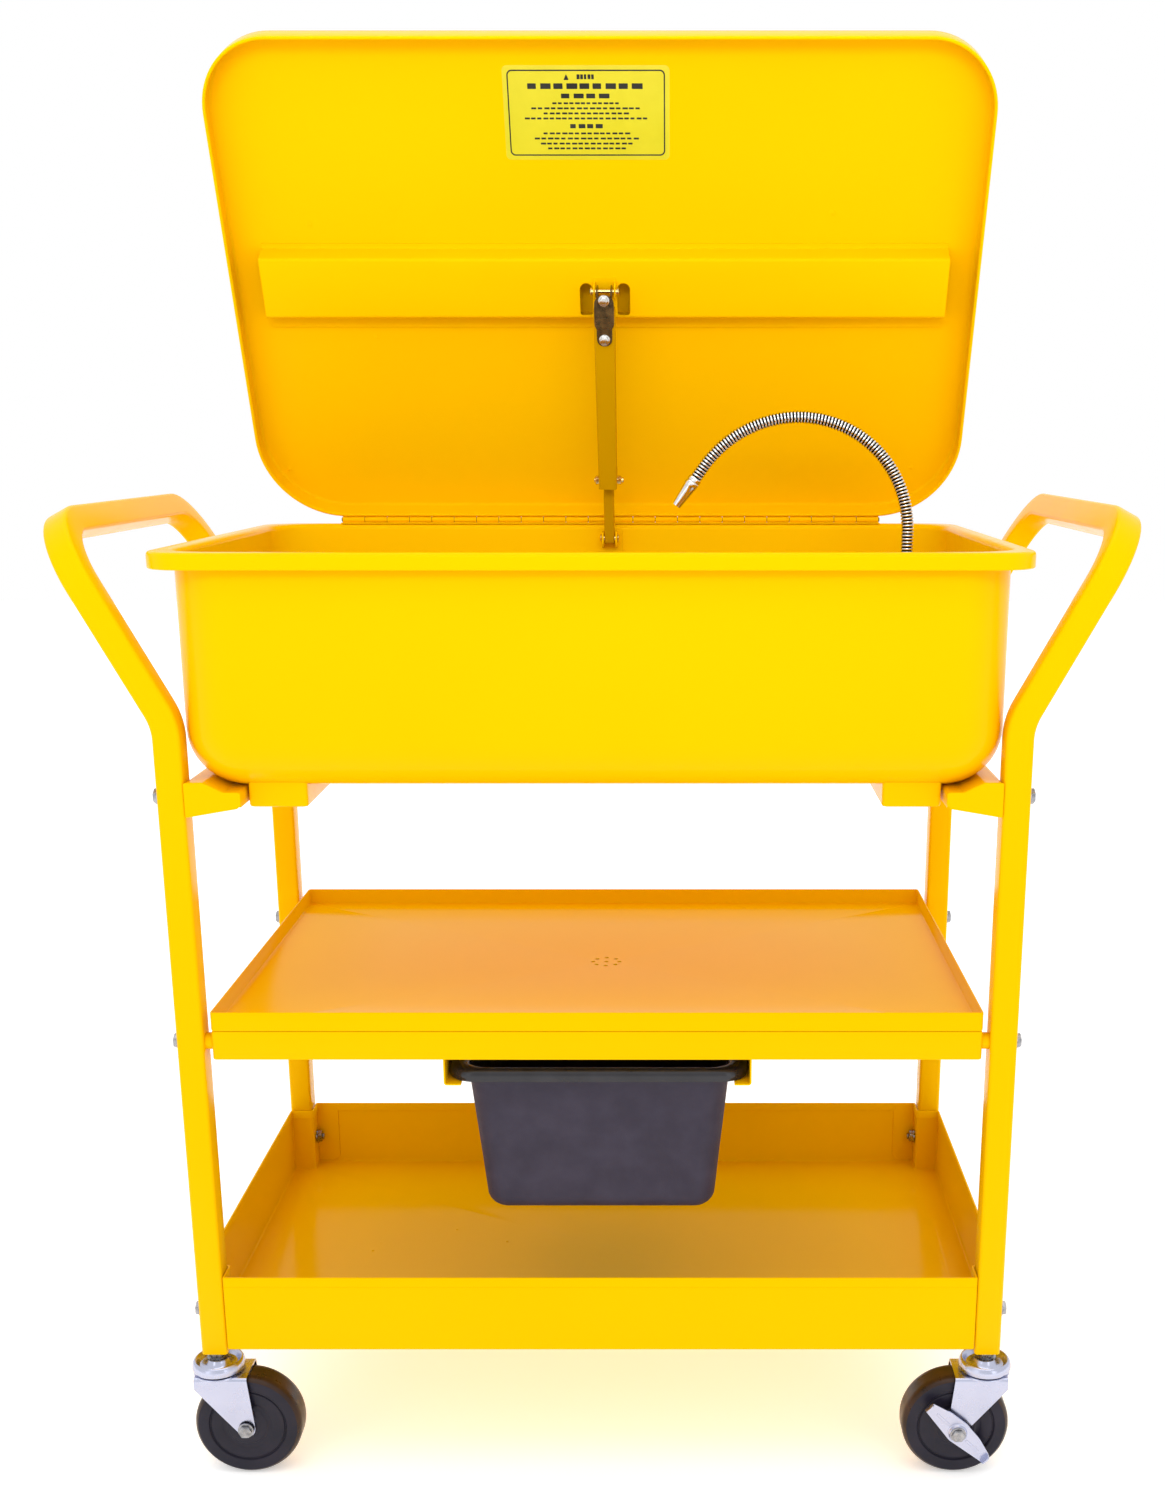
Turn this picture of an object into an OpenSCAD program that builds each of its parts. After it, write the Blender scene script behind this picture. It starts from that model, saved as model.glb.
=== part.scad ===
// Parts washer tank on a wheeled cart, as separate pieces.
// Millimetres, +Z up, the front faces -Y. The origin is on the floor, under the middle of the outline.

/* [Tank] */
// Width of the tank's rim
rim_w = 780; // [760:1:800]
// Depth of the rim, front to back
rim_d = 504; // [490:1:520]
// Height of the rim above the floor
rim_z = 908; // [890:1:940]
// Depth of the tub below the rim
tub_h = 214; // [180:1:220]
// Flat width of the rim around the tub
rim_flange = 16; // [15:1:18]
// Height of the rim's turned-down lip
rim_lip = 15; // [10:1:20]
// Radius of the tub's upright corners and bottom edges
tub_r = 54; // [54:1:60]
// Thickness of the pressed sheet
sheet = 1.2; // [1:0.1:1.5]

/* [Cart] */
// Outside width of the square frame tube
tube = 25.4; // [24:0.1:25.4]
// Wall of the frame tube
tube_wall = 1.6; // [1.2:0.1:2]
// Outside width of the cart over its legs
cart_w = 791.4; // [780:0.2:800]
// Outside depth of the cart over its legs
cart_d = 454; // [440:1:460]
// Lean of the handle bows from upright, degrees
bow_lean = 28.2; // [24:0.1:30]
// Height of the handle bow's centreline
bow_z = 928; // [915:1:940]
// Top of the bottom tray's walls
tray_top = 210; // [200:1:230]
// Height of the bottom tray's walls
tray_h = 79; // [60:1:79]
// Floor of the middle shelf
shelf_z = 466; // [450:1:480]

/* [Lid] */
// Angle that the open lid closes through, degrees
lid_open = 67; // [60:1:67]
// Depth of the lid's turned edge
lid_h = 30; // [28:1:32]
// Length of the lid from its hinge
lid_l = 501; // [495:1:505]

/* [Bin] */
// Width of the drain bin's rim
bin_w = 287.6; // [260:0.1:287.6]
// Length of the drain bin's rim
bin_d = 325; // [300:1:330]
// Depth of the drain bin
bin_h = 158; // [120:1:160]

/* [Casters] */
// Diameter of the wheels
wheel_d = 107; // [101.6:0.1:107]
// Width of the tyre
wheel_w = 32; // [28:1:32]
// Distance from the swivel to the axle
trail = 28.5; // [24:0.5:30]

/* [Hidden] */
$fn = 48;
paint = "gold";
zinc = "silver";
black = "#202024";

cart_y = -11;                       // puts the middle of the whole outline on the origin
cart_z = 5.5;                       // lifts the cart, drawn from its own datum, on to its wheels
leg_z = 126;                        // bottom of the legs
leg_x = (cart_w - tube) / 2;
leg_y = (cart_d - tube) / 2;
leg_in = leg_x - tube / 2;          // inner face of a leg
bend_r = 60;                        // centreline radius where a leg leans out
bow_r = 58;                         // centreline radius of the bow's corners
bow_len = 195.6 * (bow_z - 755.4) / 172.4;
bend_z = bow_z - bow_len * cos(bow_lean);
tub_x = rim_w / 2 - rim_flange;
tub_y = rim_d / 2 - rim_flange;
tub_z = rim_z - tub_h;

bolt_r = 4;                         // frame bolts
hole_r = 4.1;
support_bolt_z = 688;
shelf_bolt_z = 452;
tray_bolt_z = 171;
bolt_zs = [support_bolt_z, shelf_bolt_z, tray_bolt_z];
support_t = 2;
shelf_w = 726;
shelf_d = 450;
shelf_t = 1.5;
apron_z = shelf_z - 30;
lip_top = shelf_z + 17.4;
shelf_dip = 3;
tray_w = cart_w;
tray_gap = 0.3;                     // gap between the tray's corners and the legs

rail_x = 146;                       // outer face of a bin rail
rail_z = shelf_z - 56;
rail_t = 1.5;
bin_y = -58.5;
bin_top = rail_z + 14;
bin_r = 20;

hinge_y = rim_d / 2 - 1.5;
hinge_z = rim_z + 4;
hinge_half = 304.8;
knuckle = 25.4;
knuckle_r = 4;
pin_r = 2.5;
leaf_t = 1.2;
lid_edge_z = rim_z + 1.6;           // closed height of the lid's turned edge
lid_top_z = lid_edge_z + lid_h;
lid_back_y = rim_d / 2 - 6;
lid_front_y = hinge_y - lid_l;
lid_r_front = 70;
lid_r_back = 92;
hat_s = [206, 227, 229.6, 289.3, 293, 299];   // stiffener section, measured from the hinge
hat_h = 24;
hat_half = 358;
label_s = 425.5;
label_x = -14.5;

// The lid stay: base pivot A, knee K and lid pivot B, in the upright plane of the hinge.
stay_a = [0, 217, rim_z - 14.6];
stay_s = 260;
stay_n = 6;
stay_b = [0, hinge_y - cos(lid_open) * stay_s - sin(lid_open) * stay_n,
  hinge_z + sin(lid_open) * stay_s - cos(lid_open) * stay_n];
stay_lean = atan2(stay_a[1] - stay_b[1], stay_b[2] - stay_a[2]);
stay_len = norm(stay_b - stay_a);
link_len = 0.249 * stay_len;
knee_r = 3;
arm_half = 11.5;
arm_t = 1.5;
arm_front = -23;                    // outer face of the arm's web, in front of the pivots
link_half = 4.7;
link_front = -6.6;
link_back = 11.5;
link_t = 1.6;

spout_x = 313;
spout_y = 60;
spout_z = rim_z - 108;              // height of the fold pin
neck_r = 6.2;
neck_big = 114;                     // radius of the gooseneck's outer arc
neck_small = 119;
neck_turn = 54;
neck_top = rim_z + 0.6;             // where the outer arc starts
neck_end = 14.7;
nozzle_l = 33;

wheel_r = wheel_d / 2;
crown_z = 101.5;
axle_z = wheel_r - cart_z;
fork_in = 19;
fork_t = 2.2;
axle_r = 4;
shelf_in_z = tub_z + 76;            // work shelf inside the tank

// ---------- shared shapes ----------

module cart() {
  translate([0, cart_y, cart_z]) children();
}

module both_sides() {
  children();
  mirror([1, 0, 0]) children();
}

module rrect(w, d, r) {
  square([w - 2 * r, d], center = true);
  square([w, d - 2 * r], center = true);
  for (x = [-1, 1], y = [-1, 1])
    translate([x * (w / 2 - r), y * (d / 2 - r)]) circle(r);
}

module at_legs() {
  for (x = [-1, 1], y = [-1, 1])
    translate([x * leg_x, y * leg_y, 0]) children();
}

// A cylinder along X, from x0 to x1.
module rod_x(r, x0, x1) {
  translate([x0, 0, 0]) rotate([0, 90, 0]) cylinder(r = r, h = x1 - x0);
}

// A cylinder along Y, from y0 to y1.
module rod_y(r, y0, y1) {
  translate([0, y0, 0]) rotate([-90, 0, 0]) cylinder(r = r, h = y1 - y0);
}

// A hexagon along X, from x0 to x1, given across its flats.
module hex_x(af, x0, x1) {
  translate([x0, 0, 0]) rotate([0, 90, 0]) cylinder(d = af / cos(30), h = x1 - x0, $fn = 6);
}

module hex_y(af, y0, y1) {
  translate([0, y0, 0]) rotate([-90, 0, 0]) cylinder(d = af / cos(30), h = y1 - y0, $fn = 6);
}

// ---------- cart frame ----------

module tube_section(w, r) {
  if (r > 0) rrect(w, w, r);
  else square(w, center = true);
}

// One side's tube: front leg, leaning bow and rear leg, on the +X side.
module bow_solid(w, r, low) {
  t1 = bend_r * tan(bow_lean / 2);
  for (s = [0, 1]) mirror([0, s, 0]) {
    translate([leg_x, leg_y, low]) linear_extrude(bend_z - t1 - low) tube_section(w, r);
    translate([leg_x + bend_r, leg_y, bend_z - t1]) rotate([90, 0, 0])
      rotate([0, 0, 180 - bow_lean]) rotate_extrude(angle = bow_lean)
        translate([bend_r, 0]) tube_section(w, r);
    translate([leg_x, 0, bend_z]) rotate([0, bow_lean, 0]) {
      translate([0, leg_y, t1]) linear_extrude(bow_len - bow_r - t1) tube_section(w, r);
      translate([0, leg_y - bow_r, bow_len - bow_r]) rotate(a = 120, v = [1, 1, 1])
        rotate_extrude(angle = 90) translate([bow_r, 0]) tube_section(w, r);
    }
  }
  translate([leg_x, 0, bend_z]) rotate([0, bow_lean, 0]) translate([0, 0, bow_len])
    rotate([90, 0, 0]) linear_extrude(2 * (leg_y - bow_r), center = true) tube_section(w, r);
}

module end_frame() {
  difference() {
    bow_solid(tube, 3, leg_z);
    bow_solid(tube - 2 * tube_wall, 0, leg_z - 1);
    for (y = [-1, 1], z = bolt_zs)
      translate([0, y * leg_y, z]) rod_x(hole_r, leg_in - 1, leg_in + tube + 1);
  }
}

module end_frame_right() {
  cart() color(paint) end_frame();
}

module end_frame_left() {
  cart() color(paint) mirror([1, 0, 0]) end_frame();
}

module leg_inserts() {
  cart() color(black) at_legs() difference() {
    translate([0, 0, leg_z]) linear_extrude(20) square(tube - 2 * tube_wall - 0.2, center = true);
    translate([0, 0, leg_z - 1]) cylinder(r = 6.05, h = 22);
  }
}

// Threaded stem, fixed upper race and the rivet that holds the crown.
module caster_stems() {
  cart() color(zinc) at_legs() rotate_extrude() polygon([
    [0, crown_z - 2.2], [9, crown_z - 2.2], [9, crown_z - 0.3], [6, crown_z - 0.3], [6, crown_z + 3.4],
    [24.5, crown_z + 3.4], [26, crown_z + 5], [26, crown_z + 9.5], [22.5, crown_z + 13.5],
    [14, crown_z + 15.5], [6, crown_z + 15.5], [6, leg_z + 26], [0, leg_z + 26]]);
}

module stem_nuts() {
  cart() color(zinc) at_legs() difference() {
    translate([0, 0, crown_z + 15.6]) cylinder(d = 19.6, h = 8.6, $fn = 6);
    cylinder(r = 6.05, h = leg_z);
  }
}

// Section of one tank support, from its web on the legs to its inner edge.
function support_top() = [[leg_in, 672], [leg_in, tub_z + 9], [353, tub_z + 9], [332, tub_z],
  [316.5, tub_z]];
function support_under() = [[318.5, 680], [318.5, tub_z - 2], [331.2, tub_z - 2],
  [352.2, tub_z + 7], [leg_in - support_t, tub_z + 7], [leg_in - support_t, 672]];

module tank_supports() {
  cart() color(paint) both_sides() difference() {
    union() {
      rotate([90, 0, 0]) linear_extrude(cart_d, center = true)
        polygon(concat(support_top(), [[316.5, 680]], support_under()));
      for (s = [-1, 1]) translate([0, s * (cart_d - support_t) / 2, 0])
        rotate([90, 0, 0]) linear_extrude(support_t, center = true)
          polygon(concat(support_top(), [[316.5, 684], [320, 680]]));
    }
    for (y = [-1, 1]) translate([0, y * leg_y, support_bolt_z]) rod_x(hole_r, leg_in - 3, leg_in + 1);
  }
}

module tank_feet() {
  foot_w = 50;
  foot_h = 17;
  cart() color(paint) both_sides() translate([288.5, 0, tub_z - foot_h]) difference() {
    linear_extrude(foot_h) rrect(foot_w, 410, 3);
    translate([0, 0, support_t]) linear_extrude(foot_h) rrect(foot_w - 2 * support_t, 406, 1);
  }
}

// Outline of the bottom tray, notched around the four legs.
module tray_outline(t) {
  notch = tube + tray_gap;
  difference() {
    square([tray_w - 2 * t, cart_d - 2 * t], center = true);
    for (x = [-1, 1], y = [-1, 1]) translate([x * tray_w / 2, y * cart_d / 2])
      square(2 * (notch + t), center = true);
  }
}

module bottom_tray() {
  hem = 10;
  cart() color(paint) difference() {
    translate([0, 0, tray_top - tray_h]) linear_extrude(tray_h) tray_outline(0);
    translate([0, 0, tray_top - tray_h + sheet]) linear_extrude(tray_h) tray_outline(2 * sheet);
    translate([0, 0, tray_top - tray_h + sheet]) linear_extrude(tray_h - hem - sheet) tray_outline(sheet);
    for (x = [-1, 1], y = [-1, 1]) translate([x * (leg_in - 1), y * leg_y, tray_bolt_z])
      rod_x(hole_r, -3, 3);
  }
}

module shelf_frame() {
  cart() color(paint) difference() {
    translate([0, 0, apron_z]) linear_extrude(shelf_z - shelf_t - apron_z) rrect(shelf_w, shelf_d, 3);
    translate([0, 0, apron_z + shelf_t]) linear_extrude(60)
      rrect(shelf_w - 2 * shelf_t, shelf_d - 2 * shelf_t, 1.5);
    translate([0, 0, apron_z - 1]) linear_extrude(60) rrect(shelf_w - 30, shelf_d - 30, 3);
    for (x = [-1, 1], y = [-1, 1]) translate([x * shelf_w / 2, y * leg_y, shelf_bolt_z])
      rod_x(hole_r, -3, 3);
    for (x = [-1, 1]) translate([x * (rail_x - rail_t / 2) - 1.2, shelf_t - shelf_d / 2, apron_z - 1])
      cube([2.4, shelf_d - 2 * shelf_t, 4]);
  }
}

module drain_shelf() {
  w = shelf_w / 2 - 1;
  d = shelf_d / 2 - 1;
  low = shelf_z - shelf_t;
  drain_r = 2.3;
  drain_ring = 14;
  cart() color(paint) difference() {
    union() {
      translate([0, 0, low]) linear_extrude(lip_top - low) difference() {
        rrect(shelf_w, shelf_d, 3);
        rrect(shelf_w - 2 * shelf_t, shelf_d - 2 * shelf_t, 1.5);
      }
      polyhedron(
        points = [[-w, -d, low], [w, -d, low], [w, d, low], [-w, d, low], [0, 0, low - shelf_dip],
          [-w, -d, shelf_z], [w, -d, shelf_z], [w, d, shelf_z], [-w, d, shelf_z],
          [0, 0, shelf_z - shelf_dip]],
        faces = [[0, 1, 4], [1, 2, 4], [2, 3, 4], [3, 0, 4], [6, 5, 9], [7, 6, 9], [8, 7, 9], [5, 8, 9],
          [0, 5, 6, 1], [1, 6, 7, 2], [2, 7, 8, 3], [3, 8, 5, 0]]);
    }
    translate([0, 0, low - 10]) cylinder(r = drain_r, h = 20);
    for (a = [0:45:315]) rotate([0, 0, a]) translate([drain_ring, 0, low - 10])
      cylinder(r = drain_r, h = 20);
  }
}

module shelf_spacers() {
  cart() color(zinc) both_sides() for (y = [-1, 1]) translate([0, y * leg_y, shelf_bolt_z])
    difference() {
      rod_x(8, shelf_w / 2, leg_in);
      rod_x(hole_r, shelf_w / 2 - 1, leg_in + 1);
    }
}

module bin_rails() {
  half = shelf_d / 2 - shelf_t;
  tab = 12;
  cart() color(paint) both_sides() {
    translate([rail_x - rail_t, -half, rail_z]) cube([rail_t, 2 * half, 50]);
    translate([rail_x - 16.2, -half, rail_z]) cube([16.2, 2 * half, rail_t]);
    for (y = [-half, half - rail_t]) translate([rail_x - tab, y, apron_z + 3])
      cube([tab, rail_t, rail_z + 50 - apron_z - 3]);
  }
}

// Where the nut of each row of bolts bears, from the middle of the cart.
function nut_face(z) = z == shelf_bolt_z ? shelf_w / 2 - shelf_t
  : z == tray_bolt_z ? leg_in - tray_gap - 2 * sheet : leg_in - support_t;

module frame_bolts() {
  cart() color(zinc) both_sides() for (y = [-1, 1], z = bolt_zs)
    translate([0, y * leg_y, z]) {
      rod_x(bolt_r, nut_face(z) - 8.5, leg_in + tube + 0.5);
      hex_x(13, leg_in + tube, leg_in + tube + 5.3);
    }
}

module frame_nuts() {
  cart() color(zinc) both_sides() for (y = [-1, 1], z = bolt_zs)
    translate([0, y * leg_y, z]) difference() {
      hex_x(13, nut_face(z) - 6.5, nut_face(z));
      rod_x(bolt_r + 0.05, nut_face(z) - 7, nut_face(z) + 1);
    }
}

// ---------- tank ----------

// The tub's rounded form, made smaller all round by t.
module tub_form(t, top) {
  r = tub_r - t;
  hull() for (x = [-1, 1], y = [-1, 1])
    translate([x * (tub_x - tub_r), y * (tub_y - tub_r), tub_z + tub_r]) {
      sphere(r, $fn = 32);
      cylinder(r = r, h = top - tub_z - tub_r, $fn = 32);
    }
}

module tank() {
  rim_r = 40;
  drain = [-240, 120];
  cart() color(paint) difference() {
    union() {
      difference() {
        translate([0, 0, rim_z - rim_lip]) linear_extrude(rim_lip) rrect(rim_w, rim_d, rim_r);
        translate([0, 0, rim_z - rim_lip - 1]) linear_extrude(rim_lip + 1 - sheet)
          rrect(rim_w - 2 * sheet, rim_d - 2 * sheet, rim_r - sheet);
      }
      tub_form(0, rim_z - 0.1);
    }
    tub_form(sheet, rim_z + 5);
    translate([drain[0], drain[1], tub_z - 5]) cylinder(r = 11.1, h = 12);
  }
}

module drain_plug() {
  cart() color(zinc) translate([-240, 120, tub_z]) {
    translate([0, 0, -1]) cylinder(r = 11, h = 5);
    translate([0, 0, 1.5]) cylinder(r = 17, h = 3);
    translate([0, 0, -9]) cylinder(d = 30, h = 9.1, $fn = 6);
  }
}

module work_shelf() {
  shelf_r = 30;
  feet = [[-300, -180], [-300, 180], [180, -180], [180, 180]];
  cart() color(zinc) difference() {
    union() {
      translate([-60, 0, shelf_in_z]) linear_extrude(1.5) rrect(540, 420, shelf_r);
      for (p = feet) translate([p[0], p[1], tub_z + sheet + 0.3])
        cylinder(r = 8, h = shelf_in_z - tub_z - sheet);
    }
    for (i = [-4:4], j = [-3:3]) translate([-60 + i * 52, j * 52, shelf_in_z - 1])
      cylinder(r = 8, h = 4);
  }
}

module pump_body() {
  cart() color(black) translate([282, spout_y, 0]) {
    translate([0, 0, tub_z + 18]) cylinder(r = 38, h = 46);
    translate([0, 0, tub_z + 64]) cylinder(r = 34, h = 7);
  }
}

module pump_strainer() {
  slots = 16;
  cart() color(zinc) translate([282, spout_y, tub_z + sheet + 0.8]) difference() {
    cylinder(r = 39, h = 16);
    translate([0, 0, 2]) cylinder(r = 37.5, h = 12);
    for (i = [0:slots - 1]) rotate([0, 0, i * 360 / slots]) translate([38, 0, 8])
      cube([6, 4, 9], center = true);
  }
}

// Outlet block on the pump, nipple and the fork that holds the spout's fold pin.
module spout_base() {
  cart() color(zinc) translate([spout_x, spout_y, 0]) difference() {
    union() {
      translate([-31, -12, tub_z + 71]) cube([43, 24, 8]);
      translate([0, 0, tub_z + 79]) cylinder(r = 8, h = 6);
      translate([0, 0, spout_z - 15]) cylinder(r = 14, h = 4);
      for (x = [-12.5, 9.5]) translate([x, -8, spout_z - 11]) cube([3, 16, 19]);
    }
    translate([0, 0, spout_z]) rod_x(pin_r + 0.05, -20, 20);
  }
}

module spout_pin() {
  cart() color(zinc) translate([spout_x, spout_y, spout_z]) {
    rod_x(pin_r, -13.5, 13.5);
    rod_x(4.5, 12.7, 14.5);
    rod_x(4.5, -14.5, -12.7);
  }
}

module switch_box() {
  cart() color(black) translate([275, tub_y, rim_z - 92]) difference() {
    translate([-26, 0.1, -30]) cube([52, 30, 60]);
    translate([-10.6, 19.5, -7.6]) cube([21.2, 14, 15.2]);
    translate([0, 15, -31]) cylinder(r = 8, h = 12);
  }
}

module switch_rocker() {
  cart() color("firebrick") translate([275, tub_y + 26, rim_z - 92]) rod_x(6.2, -9.8, 9.8);
}

module cable_gland() {
  cart() color(black) translate([275, tub_y + 15, rim_z - 122]) difference() {
    union() {
      translate([0, 0, -14]) cylinder(r = 7.8, h = 17.9);
      translate([0, 0, -10]) cylinder(d = 20, h = 8, $fn = 6);
    }
    translate([0, 0, -15]) cylinder(r = 3.6, h = 20);
  }
}

// ---------- hinge and lid, drawn closed and swung open ----------

module at_open() {
  cart() translate([0, hinge_y, hinge_z]) rotate([-lid_open, 0, 0])
    translate([0, -hinge_y, -hinge_z]) children();
}

// Every second knuckle of the long hinge, from knuckle number first.
module knuckles(first) {
  for (i = [first:2:23]) translate([-hinge_half + i * knuckle + 0.3, hinge_y, hinge_z])
    difference() {
      rod_x(knuckle_r, 0, knuckle - 0.6);
      rod_x(pin_r + 0.06, -1, knuckle + 1);
    }
}

module hinge_tank_leaf() {
  leaf_in = 14;
  cart() color(paint) {
    translate([-hinge_half, hinge_y - leaf_in, rim_z]) cube([2 * hinge_half, leaf_in - 4.8, leaf_t]);
    for (i = [0:2:23]) translate([-hinge_half + i * knuckle + 0.3, hinge_y - 4.9, rim_z])
      cube([knuckle - 0.6, 4.5, leaf_t]);
    knuckles(0);
  }
}

module hinge_lid_leaf() {
  leaf_up = 18;
  at_open() color(paint) {
    translate([-hinge_half, lid_back_y, hinge_z + 4.6]) cube([2 * hinge_half, leaf_t, leaf_up]);
    for (i = [1:2:23]) translate([-hinge_half + i * knuckle + 0.3, lid_back_y, hinge_z + 0.5])
      cube([knuckle - 0.6, leaf_t, 4.5]);
    knuckles(1);
  }
}

module hinge_pin() {
  cart() color(zinc) translate([0, hinge_y, hinge_z]) rod_x(pin_r, -hinge_half - 1, hinge_half + 1);
}

// The lid's plan, made smaller all round by t.
module lid_plan(t) {
  w = rim_w / 2 - t;
  y0 = lid_front_y + t;
  y1 = lid_back_y - t;
  rf = lid_r_front - t;
  rb = lid_r_back - t;
  polygon([[-w + rf, y0], [w - rf, y0], [w, y0 + rf], [w, y1 - rb], [w - rb, y1], [-w + rb, y1],
    [-w, y1 - rb], [-w, y0 + rf]]);
  for (s = [-1, 1]) {
    translate([s * (w - rf), y0 + rf]) circle(rf);
    translate([s * (w - rb), y1 - rb]) circle(rb);
  }
}

module lid_panel() {
  at_open() color(paint) difference() {
    translate([0, 0, lid_edge_z]) linear_extrude(lid_h) lid_plan(0);
    translate([0, 0, lid_edge_z - 1]) linear_extrude(lid_h + 1 - sheet) lid_plan(sheet);
  }
}

// Hat-section stiffener across the lid, with a window for the stay's clevis.
module lid_stiffener() {
  base = lid_top_z - sheet;
  lobe_x = 19.5;
  lobe_r = 6.7;
  at_open() color(paint) difference() {
    rotate([90, 0, 90]) linear_extrude(2 * hat_half, center = true) polygon([
      [hinge_y - hat_s[0], base], [hinge_y - hat_s[0], base - sheet], [hinge_y - hat_s[1], base - sheet],
      [hinge_y - hat_s[2], base - hat_h], [hinge_y - hat_s[3], base - hat_h],
      [hinge_y - hat_s[4], base - sheet], [hinge_y - hat_s[5], base - sheet],
      [hinge_y - hat_s[5], base], [hinge_y - hat_s[4] + sheet, base],
      [hinge_y - hat_s[3] + sheet, base - hat_h + sheet],
      [hinge_y - hat_s[2] - sheet, base - hat_h + sheet],
      [hinge_y - hat_s[1] - sheet, base]]);
    for (s = [-1, 1]) {
      translate([s * lobe_x, hinge_y - 259, base - hat_h - 1]) cylinder(r = lobe_r, h = 4);
      translate([s * lobe_x - lobe_r, hinge_y - 259, base - hat_h - 1]) cube([2 * lobe_r, 26, 4]);
    }
  }
}

module lid_label() {
  at_open() color("yellow") translate([label_x, hinge_y - label_s, lid_top_z - sheet - 0.3])
    linear_extrude(0.3) rrect(165, 88, 4);
}

// ---------- lid stay ----------

// The stay's own frame: Z runs from the base pivot A to the lid pivot B, -Y faces forward.
module on_stay(z) {
  cart() translate(stay_a) rotate([stay_lean, 0, 0]) translate([0, 0, z]) children();
}

module stay_base_bracket() {
  back = tub_y - sheet - stay_a[1] - 0.2;
  cart() color(paint) translate(stay_a) difference() {
    union() {
      translate([-14, back - 2, -17]) cube([28, 2, 26]);
      for (x = [-8.5, 6.5]) translate([x, -7, -9]) cube([2, back + 6, 16]);
    }
    rod_x(3.05, -20, 20);
  }
}

module stay_base_pin() {
  cart() color(zinc) translate(stay_a) {
    rod_x(3, -9, 9);
    rod_x(5, 8.8, 10.8);
    rod_x(5, -10.8, -8.8);
  }
}

// The lower link; its knee hole is a slot, because the stay's loop is opened there.
module stay_link() {
  slot_back = 8.6;
  slot_front = 4.6;
  slot_low = 19;
  tail = 5.6;
  on_stay(0) color(paint) difference() {
    union() {
      translate([-link_half, link_front, 0]) cube([2 * link_half, link_back - link_front, link_len + tail]);
      rod_x(-link_front, -link_half, link_half);
    }
    translate([-link_half + link_t, link_front + link_t, -12])
      cube([2 * (link_half - link_t), 30, link_len + 30]);
    rod_x(3.06, -10, 10);
    translate([-10, -slot_front, link_len - slot_low])
      cube([20, slot_front + slot_back, slot_low + 3.6]);
    translate([-10, 2, -10]) rotate([-20, 0, 0]) translate([0, 6.2, -6]) cube([20, 20, 30]);
  }
}

module stay_arm() {
  top = stay_len - 13.5;
  low = link_len - 10;
  on_stay(0) color(paint) difference() {
    union() {
      translate([-arm_half, arm_front, low]) cube([2 * arm_half, 15.5, top - low]);
      translate([0, 0, link_len]) rod_x(7, -arm_half, arm_half);
      translate([-arm_half, arm_front, low]) cube([2 * arm_half, -arm_front, 17]);
    }
    translate([-arm_half + arm_t, arm_front + arm_t, low - 1])
      cube([2 * (arm_half - arm_t), 60, top - low + 2]);
    translate([0, 0, link_len]) rod_x(3.05, -20, 20);
    translate([0, 0, stay_len - 48]) rotate([90, 0, 0]) cylinder(r = 2.6, h = 40);
    translate([0, 0, stay_len - 10]) rotate([90, 0, 0]) cylinder(r = 6.7, h = 40);
  }
}

// Fork on the lid pivot and the two soldered plates that melt apart in a fire.
module stay_fuse_link() {
  plate_half = 6.5;
  ear_in = 6.5;
  on_stay(stay_len) color(zinc) difference() {
    union() {
      translate([-8, arm_front + arm_t + 0.1, -12.5]) cube([16, 1.5, 19]);
      for (x = [-8, ear_in]) {
        translate([x, arm_front + arm_t + 0.1, -6.5]) cube([1.5, -arm_front - arm_t - 0.1, 13]);
        rod_x(6.5, x, x + 1.5);
      }
      translate([0, arm_front + arm_t + 0.1, -10]) rotate([90, 0, 0]) cylinder(r = plate_half, h = 3.1);
      translate([-plate_half, arm_front - 3, -41]) cube([2 * plate_half, 1.5, 31]);
      translate([0, arm_front - 1.5, -10]) rotate([90, 0, 0]) cylinder(r = plate_half, h = 1.5);
      translate([-plate_half, arm_front - 1.5, -48]) cube([2 * plate_half, 1.5, 30]);
      translate([0, arm_front, -48]) rotate([90, 0, 0]) cylinder(r = plate_half, h = 1.5);
    }
    rod_x(pin_r + 0.05, -10, 10);
    for (z = [-10, -48]) translate([0, 0, z]) rotate([90, 0, 0]) cylinder(r = 2.6, h = 40);
    for (z = [-25, -35]) translate([-2, arm_front - 4, z]) cube([4, 2.4, 5]);
  }
}

module stay_fuse_bolts() {
  on_stay(stay_len) color(zinc) {
    translate([0, 0, -10]) {
      rod_y(2.5, arm_front - 3.2, arm_front + 8);
      hex_y(8, arm_front - 6.6, arm_front - 3.1);
    }
    translate([0, 0, -48]) {
      rod_y(2.5, arm_front - 1.7, arm_front + 6);
      hex_y(8, arm_front - 5, arm_front - 1.6);
    }
  }
}

module stay_knee_bolt() {
  on_stay(link_len) color(zinc) {
    rod_x(knee_r, -arm_half - 0.5, arm_half + 0.5);
    hex_x(10, arm_half + 0.05, arm_half + 3.5);
    hex_x(10, -arm_half - 3.5, -arm_half - 0.05);
  }
}

module stay_clevis() {
  face = lid_top_z - sheet - hat_h;
  at_open() color(zinc) translate([0, hinge_y - stay_s, 0]) difference() {
    union() {
      translate([-11.5, -12, face - 1.5]) cube([23, 34, 1.5]);
      for (x = [-11.5, 10]) translate([x, -8, face - 16]) cube([1.5, 16, 15]);
    }
    translate([0, 0, hinge_z - stay_n]) rod_x(pin_r + 0.05, -20, 20);
  }
}

module stay_top_pin() {
  at_open() color(zinc) translate([0, hinge_y - stay_s, hinge_z - stay_n]) {
    rod_x(pin_r, -13, 13);
    rod_x(4.2, 11.6, 13.6);
    rod_x(4.2, -13.6, -11.6);
  }
}

// ---------- spout ----------

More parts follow.
